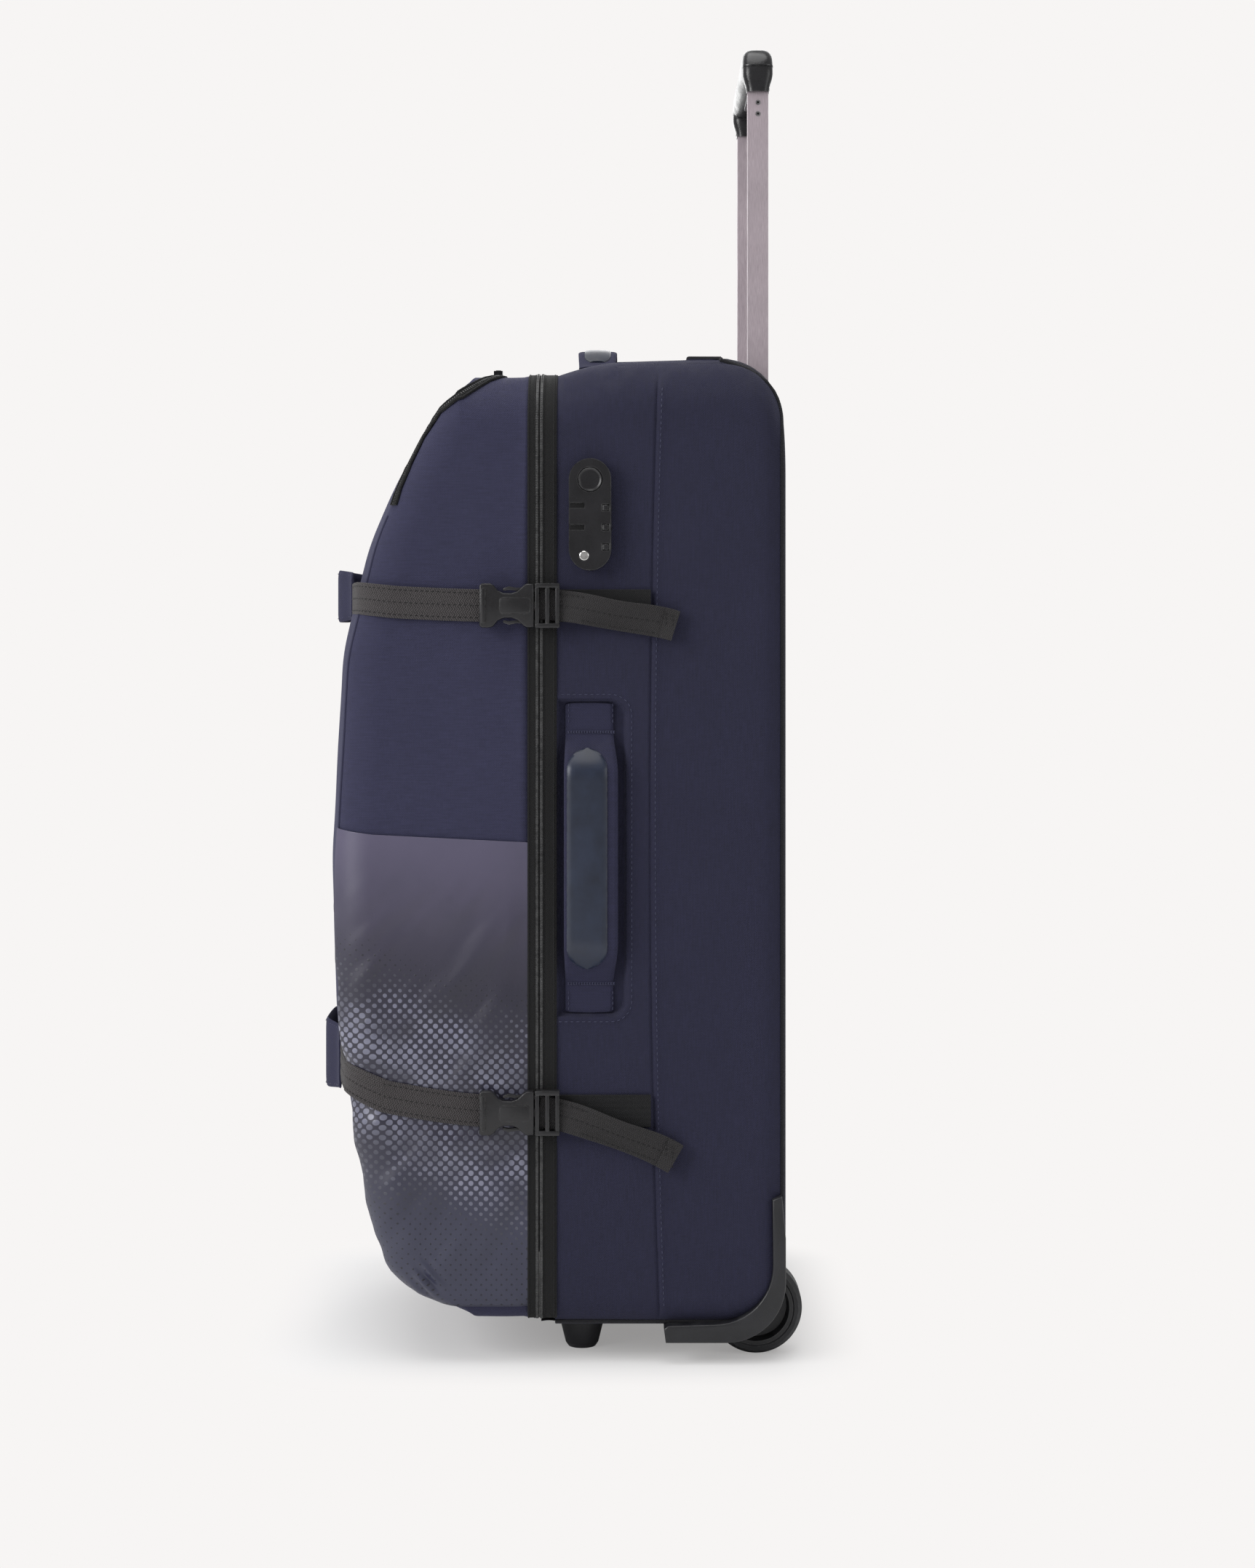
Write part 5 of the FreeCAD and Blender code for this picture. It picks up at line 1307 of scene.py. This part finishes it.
top = [Vector((x, pocketZip["marks"][0][0] + 1.5 * (x / 150) ** 2, lid["high"])) for x in stops(0, 118, 6)]
line = [settle(lidTree, spot, 0.3) for spot in top + corner[1:]]
line = wholePath(line[::-1])
bm = newShape()
addSweep(bm, line, flatSection(pocketZip["wide"] + 2, 1.1, 0.4))
for side in (-1, 1):
    lipped = []
    for i, (spot, up) in enumerate(line):
        tangent = (line[min(i + 1, len(line) - 1)][0] - line[max(i - 1, 0)][0]).normalized()
        lipped.append((spot + tangent.cross(up) * side * 3.4 + up * 1.0, up))
    addSweep(bm, lipped, roundSection(0.9, 6))
piece = meshPiece("frontPocketZip", bm, finishes["tape"], "lid", flatUv=False)
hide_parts("front_pocket_zip")
bm = newShape()
spots = []
for (first, up), (second, _) in zip(line, line[1:]):
    count = max(1, round((second - first).length / zipper["pitch"]))
    across = (second - first).normalized().cross(up)
    spots += [(first.lerp(second, (i + 0.5) / count) + up * 1.3, across, up) for i in range(count)]
addBeads(bm, spots, (3.2, 1.15, 1.2))
meshPiece("frontPocketCoil", bm, finishes["coil"], "lid")

# upright seams where the lid's sides meet its front
bm = newShape()
for turn in (1, -1):
    path = []
    for z in stops(60, 655, 6):
        spot, up = settle(lidTree, lidSkin(lid["seam"], z), 0.2)
        spot.x, up = spot.x * turn, Vector((up.x * turn, up.y, up.z))
        path.append((spot, up))
    addSweep(bm, path, roundSection(1.1, 6, 0.7))
meshPiece("lidSeams", bm, finishes["navyDeep"], "lid", flatUv=False)

# padded handles: side, top and two in front
sideHandle = {"low": 270.5, "high": 510.5, "sewn": 22.0, "inner": 163.4, "outer": 177.6, "wide": 40.0,
              "thick": 3.4,
              "middle": 30.0, "inlay": (306.0, 475.0), "inlayEnd": 15.5}


def archAt(z, low, high, sewn, rise):
    # flat at both sewn ends, lifted between them
    return rise * min(ease(low + sewn, low + sewn + 34, z), 1 - ease(high - sewn - 34, high - sewn, z))


path = []
for z in stops(sideHandle["low"], sideHandle["high"], 3):
    rise = archAt(z, sideHandle["low"], sideHandle["high"], sideHandle["sewn"],
                  sideHandle["outer"] - sideHandle["inner"])
    share = rise / (sideHandle["outer"] - sideHandle["inner"])
    path.append((Vector((sideHandle["inner"] + rise, sideHandle["middle"] - 1.5 * (1 - share), z)),
                 Vector((1, 0, 0)),
                 (mix(0.93, 1.04, share), mix(0.85, 1.0, share))))
bm = newShape()
addSweep(bm, path, flatSection(sideHandle["wide"], sideHandle["thick"], 0.48))
piece = meshPiece("sideHandle", bm, finishes["navyDeep"], "root", flatUv=False)
addModifier(piece, "SUBSURF", levels=1, render_levels=1)
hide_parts("side_handle", "side_handle_recess")
inlay = []
low, high = sideHandle["inlay"]
for z in stops(low, high, 4, (low, low + 16, 0.8), (high - 16, high, 0.8)):
    rise = archAt(z, sideHandle["low"], sideHandle["high"], sideHandle["sewn"],
                  sideHandle["outer"] - sideHandle["inner"])
    edge = clamp(min(z - low, high - z) / sideHandle["inlayEnd"])
    inlay.append((Vector((sideHandle["inner"] + rise + sideHandle["thick"] + 0.6, 27.0, z)),
                  Vector((1, 0, 0)),
                  (math.sqrt(max(0.02, 1 - (1 - edge) ** 2)), 0.5 + 0.5 * edge)))
bm = newShape()
addSweep(bm, inlay, [(-15.5, 0.0), (0, 0), (15.5, 0.0), (14.6, 1.0), (11, 1.7), (5, 2.1), (0, 2.2),
                     (-5, 2.1), (-11, 1.7),
                     (-14.6, 1.0)])
piece = meshPiece("sideHandleInlay", bm, finishes["inlay"], "root", flatUv=False)
bm = newShape()
spots = []
for z in (487.5, 293.5):      # zigzag tacks at the sewn ends
    rise = archAt(z, sideHandle["low"], sideHandle["high"], sideHandle["sewn"], 14)
    for i in range(18):
        for turn in (1, -1):
            spots.append(((sideHandle["inner"] + 3.6 + rise, 12.5 + i * 2.05, z), (0, 1.0, 1.9 * turn),
                          (1, 0, 0)))
addBeads(bm, spots, (3.2, 0.9, 0.8))
for y in (12.6, 46.6):
    for low, high in ((272, 287), (494, 509)):
        addStitches(bm, [(Vector((sideHandle["inner"] + 3.1, y, low)), Vector((1, 0, 0))),
                         (Vector((sideHandle["inner"] + 3.1, y, high)), Vector((1, 0, 0)))],
                         (2.8, 0.95, 0.8), 1.3)
meshPiece("sideHandleStitches", bm, finishes["thread"], "root")

topHandle = {"half": 88.0, "low": 777.4, "rise": 17.5, "wide": 31.0, "thick": 3.2, "middle": 33.5,
             "strip": 58}
path = []
for x in stops(-topHandle["half"], topHandle["half"], 4):
    share = 1 - ease(topHandle["half"] - 62, topHandle["half"] - 14, abs(x))
    path.append((Vector((x, topHandle["middle"],
                         tubHigh(topHandle["middle"]) + 0.6 + topHandle["rise"] * share)),
                 Vector((0, 0, 1)), (mix(0.94, 1.03, share), mix(0.8, 1, share))))
bm = newShape()
addSweep(bm, path, flatSection(topHandle["wide"], topHandle["thick"], 0.48))
piece = meshPiece("topHandle", bm, finishes["navyDeep"], "root", flatUv=False)
addModifier(piece, "SUBSURF", levels=1, render_levels=1)
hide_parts("top_handle")
bm = newShape()
strip = []
for spot, up, _ in path:
    if abs(spot.x) < topHandle["strip"]:
        edge = clamp((topHandle["strip"] - abs(spot.x)) / 12)
        strip.append((spot + Vector((0, 0, topHandle["thick"] - 0.3)), up,
                      (math.sqrt(max(0.02, 1 - (1 - edge) ** 2)), 1)))
addSweep(bm, strip, [(-11, 0), (0, 0), (11, 0), (10.2, 0.9), (6, 1.6), (0, 1.8), (-6, 1.6), (-10.2, 0.9)])
meshPiece("topHandleInlay", bm, finishes["inlay"], "root", flatUv=False)

frontHandles = {"half": 62.0, "thick": 3.2, "seam": 6, "spans": ((569.5, 618.5, -189.0),
                                                                 (187.5, 250.5, -193.0))}
bm = newShape()
seams = newShape()
for low, high, proud in frontHandles["spans"]:
    middle = (low + high) / 2
    path = []
    for x in stops(-frontHandles["half"], frontHandles["half"], 4):
        share = 1 - ease(frontHandles["half"] - 34, frontHandles["half"] - 4, abs(x))
        base = lidFace(x, middle) - 1.6
        y = mix(base, max(proud + frontHandles["thick"], base - 12), share)
        path.append((Vector((x, y, middle)), Vector((0, -1, 0)), (mix(0.9, 1, share), 1)))
    addSweep(bm, path, flatSection(high - low - frontHandles["seam"], frontHandles["thick"], 0.48))
    for edge in (-1, 1):
        line = [(spot + Vector((0, -frontHandles["thick"],
                                edge * (high - low - 2 * frontHandles["seam"]) / 2 * scale[0])), up)
                for spot, up, scale in path]
        addStitches(seams, line, (2.8, 0.8, 0.6), 1.4)
piece = meshPiece("frontHandles", bm, finishes["navyDeep"], "lid", flatUv=False)
addModifier(piece, "SUBSURF", levels=1, render_levels=1)
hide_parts("front_handles")
meshPiece("frontHandleStitches", seams, finishes["thread"], "lid")
print("handles")

# the hinge strip under the bag
bm = newShape()
addGrid(bm, stops(-135, 135, 9), stops(-9.6, 2, 1.4), lambda x,
        y: (x, y, 25.0 + 0.5 * math.sin((y + 9.6) / 11.6 * math.pi)
                                                                  + 0.2 * ripple((x, y, 0), 20, 3)))
outwards(bm, (0, -4, 100))
piece = meshPiece("hingeStrip", bm, finishes["binding"], "root")
addModifier(piece, "SOLIDIFY", thickness=cloth["strip"] * mm, offset=0)
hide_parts("hinge_strip")

# rear corner guards: a wrap round the heel, a roof over the wheel and its inner cheek
guard = {"low": 17.0, "front": 86.0, "back": 180.0, "top": 130.0, "round": 46.0, "inner": 107.0,
         "outer": 172.0,
         "wheelY": 158.6, "wheelZ": 36.0, "well": 41.0, "wall": 3.0,
         "sole": 13.5, "arm": 9}


def guardOutline():
    r, corner = guard["round"], guard["back"] - guard["round"]
    outer = [(corner + r * math.cos(math.radians(angle)),
              guard["low"] + r + r * math.sin(math.radians(angle)))
             for angle in stops(-90, 0, 7.5)]
    inner = [(corner - guard["arm"] + (r - 1) * math.cos(math.radians(angle)),
              guard["low"] + guard["sole"] + r + (r - 1) * math.sin(math.radians(angle))) for angle in stops(-90, 0, 7.5)[::-1]]
    return ([(guard["front"] + 1.5, guard["low"])] + outer + [(guard["back"], guard["top"] * 0.75),
            (guard["back"] - 3, guard["top"]), (guard["back"] - 10.5, guard["top"] - 2.5)] + inner
            + [(guard["front"] + 3, guard["low"] + guard["sole"]), (guard["front"], guard["low"] + 11)])


for side, hand in ((1, "right"), (-1, "left")):
    bm = newShape()
    low, high = sorted((side * guard["inner"], side * guard["outer"]))
    addPlate(bm, guardOutline(), low, high, "x", soft=1.6, segments=3)
    cheek = [(guard["wheelY"] + guard["well"] * math.cos(angle),
              guard["wheelZ"] + guard["well"] * math.sin(angle))
             for angle in (math.tau * i / 64 for i in range(64))]
    cheek = [(y, z) for y, z in cheek if y < guard["back"] - 1 and z > guard["low"] + 1]
    low, high = sorted((side * guard["inner"], side * (guard["inner"] + guard["wall"])))
    addPlate(bm, cheek, low, high, "x", soft=0.8)
    piece = meshPiece(f"cornerGuard_{hand}", bm, finishes["moulded"], "root")
    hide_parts(f"wheel_housing_{hand}")

# the pull grip: legs that swell out of the posts and turn into the bar
gripShape = {"leg": 94.0, "middle": 162.0, "low": 995.2, "top": 1032.0, "wide": 24.0, "turn": 11.0}
gripRing = [(gripShape["wide"] / 2 * math.copysign(abs(math.cos(a)) ** 0.62, math.cos(a)),
             11.0 * math.copysign(abs(math.sin(a)) ** 0.62, math.sin(a)))
            for a in (2 * math.pi * i / 36 for i in range(36))]
path = []
barLevel = gripShape["top"] - 11.0
for z in stops(gripShape["low"], barLevel - gripShape["turn"], 2):
    swell = ease(gripShape["low"], gripShape["low"] + 15, z)
    path.append((Vector((gripShape["leg"] + 0.8, gripShape["middle"], z)), Vector((1, 0, 0)),
                 (mix(0.74, 1, swell), mix(0.9, 1, swell))))
for angle in stops(10, 90, 10):
    lean = math.radians(angle)
    path.append((Vector((gripShape["leg"] + 0.8 - gripShape["turn"] * (1 - math.cos(lean)),
                         gripShape["middle"],
                         barLevel - gripShape["turn"] + gripShape["turn"] * math.sin(lean))),
                 Vector((math.cos(lean), 0, math.sin(lean))), (1, 1)))
path += [(Vector((x, gripShape["middle"], barLevel)), Vector((0, 0, 1)),
          (1, 1)) for x in (72, 54, 36, 18, 0)]
bm = newShape()
addSweep(bm, wholePath(path), gripRing)
for side in (1, -1):   # the parting line round each leg, and the collar below it
    for level, scale in ((1016.0, 1.012), (998.0, 0.79)):
        ring = [(x * scale, y * scale) for x, y in gripRing]
        addSweep(bm, [(Vector((side * (gripShape["leg"] + 0.8), gripShape["middle"], level - 0.5)),
                       Vector((1, 0, 0))),
                      (Vector((side * (gripShape["leg"] + 0.8), gripShape["middle"], level + 0.5)),
                       Vector((1, 0, 0)))],
                 ring)
piece = meshPiece("gripShell", bm, finishes["grip"], "handle")
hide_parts("grip")

# finishes of the pieces that stay as the frame has them
kept = {"back_board": "board", "outer_tubes": "alloyDark", "tube_brackets": "moulded",
        "trolley_bezels": "moulded",
        "inner_tubes": "alloy", "grip": "grip", "grip_button": "button", "grip_rivets": "steel",
        "pull_rods": "steel",
        "lock_pin_right": "steel", "lock_pin_left": "steel", "wheel_housing_right": "moulded",
        "wheel_housing_left": "moulded", "axles": "steel", "front_feet": "moulded",
        "wheel_tyre_right": "tyre",
        "wheel_tyre_left": "tyre", "wheel_hub_right": "hub", "wheel_hub_left": "hub", "lock_case": "lock",
        "lock_release": "lock", "key_barrel": "keySteel",
        "dial_top": "lock", "dial_middle": "lock", "dial_low": "lock", "zip_slider_upper": "slider",
        "zip_slider_lower": "slider", "pocket_slider": "slider"}
for name, finish in kept.items():
    allNodes[name].data.materials.clear()
    allNodes[name].data.materials.append(finishes[finish])
print("finishes on the frame's own pieces")

# floor, light and camera
stage = {"floor": grey(0.93), "paper": tone(247, 245, 244), "under": (0.15, 0.165), "fade": 0.09,
         "least": 0.3}
bm = newShape()
bmesh.ops.create_circle(bm, cap_ends=True, segments=96, radius=9)
mesh = bpy.data.meshes.new("floor")
bm.to_mesh(mesh)
bm.free()
floor = bpy.data.objects.new("floor", mesh)
bpy.context.collection.objects.link(floor)
material = bpy.data.materials.new("paleFloor")
material.use_nodes = True
nodes = material.node_tree
nodes.nodes.clear()
matte = put(nodes, "ShaderNodeBsdfDiffuse", {"Color": stage["floor"]})
glow = put(nodes, "ShaderNodeEmission", {"Color": stage["paper"], "Strength": 1.0})
spot = put(nodes, "ShaderNodeSeparateXYZ", {0: placeOf(nodes, "object")}).outputs
outside = [calc(nodes, "MAXIMUM", calc(nodes, "SUBTRACT", calc(nodes, "ABSOLUTE", spot[i]), half), 0.0)
           for i, half in enumerate(stage["under"])]
away = calc(nodes, "SQRT", calc(nodes, "ADD", calc(nodes, "POWER", outside[0], 2.0),
                                calc(nodes, "POWER", outside[1], 2.0)))
seen = put(nodes, "ShaderNodeLightPath").outputs["Is Camera Ray"]
share = calc(nodes, "MULTIPLY", bend(nodes, away, 0.0, stage["fade"], stage["least"], 1.0, soft=True), seen)
blend = put(nodes, "ShaderNodeMixShader", {0: share, 1: matte.outputs[0], 2: glow.outputs[0]})
put(nodes, "ShaderNodeOutputMaterial", {"Surface": blend.outputs[0]})
mesh.materials.append(material)

world = bpy.data.worlds.new("studio")
bpy.context.scene.world = world
world.use_nodes = True
nodes = world.node_tree
nodes.nodes.clear()
seen = put(nodes, "ShaderNodeLightPath").outputs["Is Camera Ray"]
room = put(nodes, "ShaderNodeBackground", {"Color": grey(1.0), "Strength": 0.42})
paper = put(nodes, "ShaderNodeBackground", {"Color": stage["paper"], "Strength": 1.0})
blend = put(nodes, "ShaderNodeMixShader", {0: seen, 1: room.outputs[0], 2: paper.outputs[0]})
put(nodes, "ShaderNodeOutputWorld", {"Surface": blend.outputs[0]})

lamps = [("frontLamp", (1.5, -2.2, 1.5), (0.1, 0, 0.5), 1.6, 47),
         ("topLamp", (0.3, -0.2, 2.9), (0, 0, 0.3), 2.2, 34),
         ("rearLamp", (1.3, 2.4, 1.2), (0, 0.1, 0.5), 1.4, 8),
         ("farLamp", (-2.4, 0.2, 1.6), (0, 0, 0.5), 1.8, 22)]
for name, place, aim, size, power in lamps:
    light = bpy.data.lights.new(name, "AREA")
    light.shape, light.size, light.energy = "SQUARE", size, power
    lamp = bpy.data.objects.new(name, light)
    bpy.context.collection.objects.link(lamp)
    lamp.location = place
    lamp.rotation_euler = (Vector(aim) - Vector(place)).to_track_quat("-Z", "Y").to_euler()

view = {"place": (2.170, 0.058, 0.566), "lens": 59.6, "shift": -0.098}
cameraData = bpy.data.cameras.new("camera")
cameraData.lens, cameraData.sensor_width, cameraData.sensor_fit = view["lens"], 36, "AUTO"
cameraData.shift_y = view["shift"]
cameraData.clip_end = 60
camera = bpy.data.objects.new("camera", cameraData)
bpy.context.collection.objects.link(camera)
camera.location = view["place"]
camera.rotation_euler = (math.pi / 2, 0, math.pi / 2)   # looks along -X
bpy.context.scene.camera = camera
bpy.context.scene.view_settings.view_transform = "Standard"
print("stage and camera")
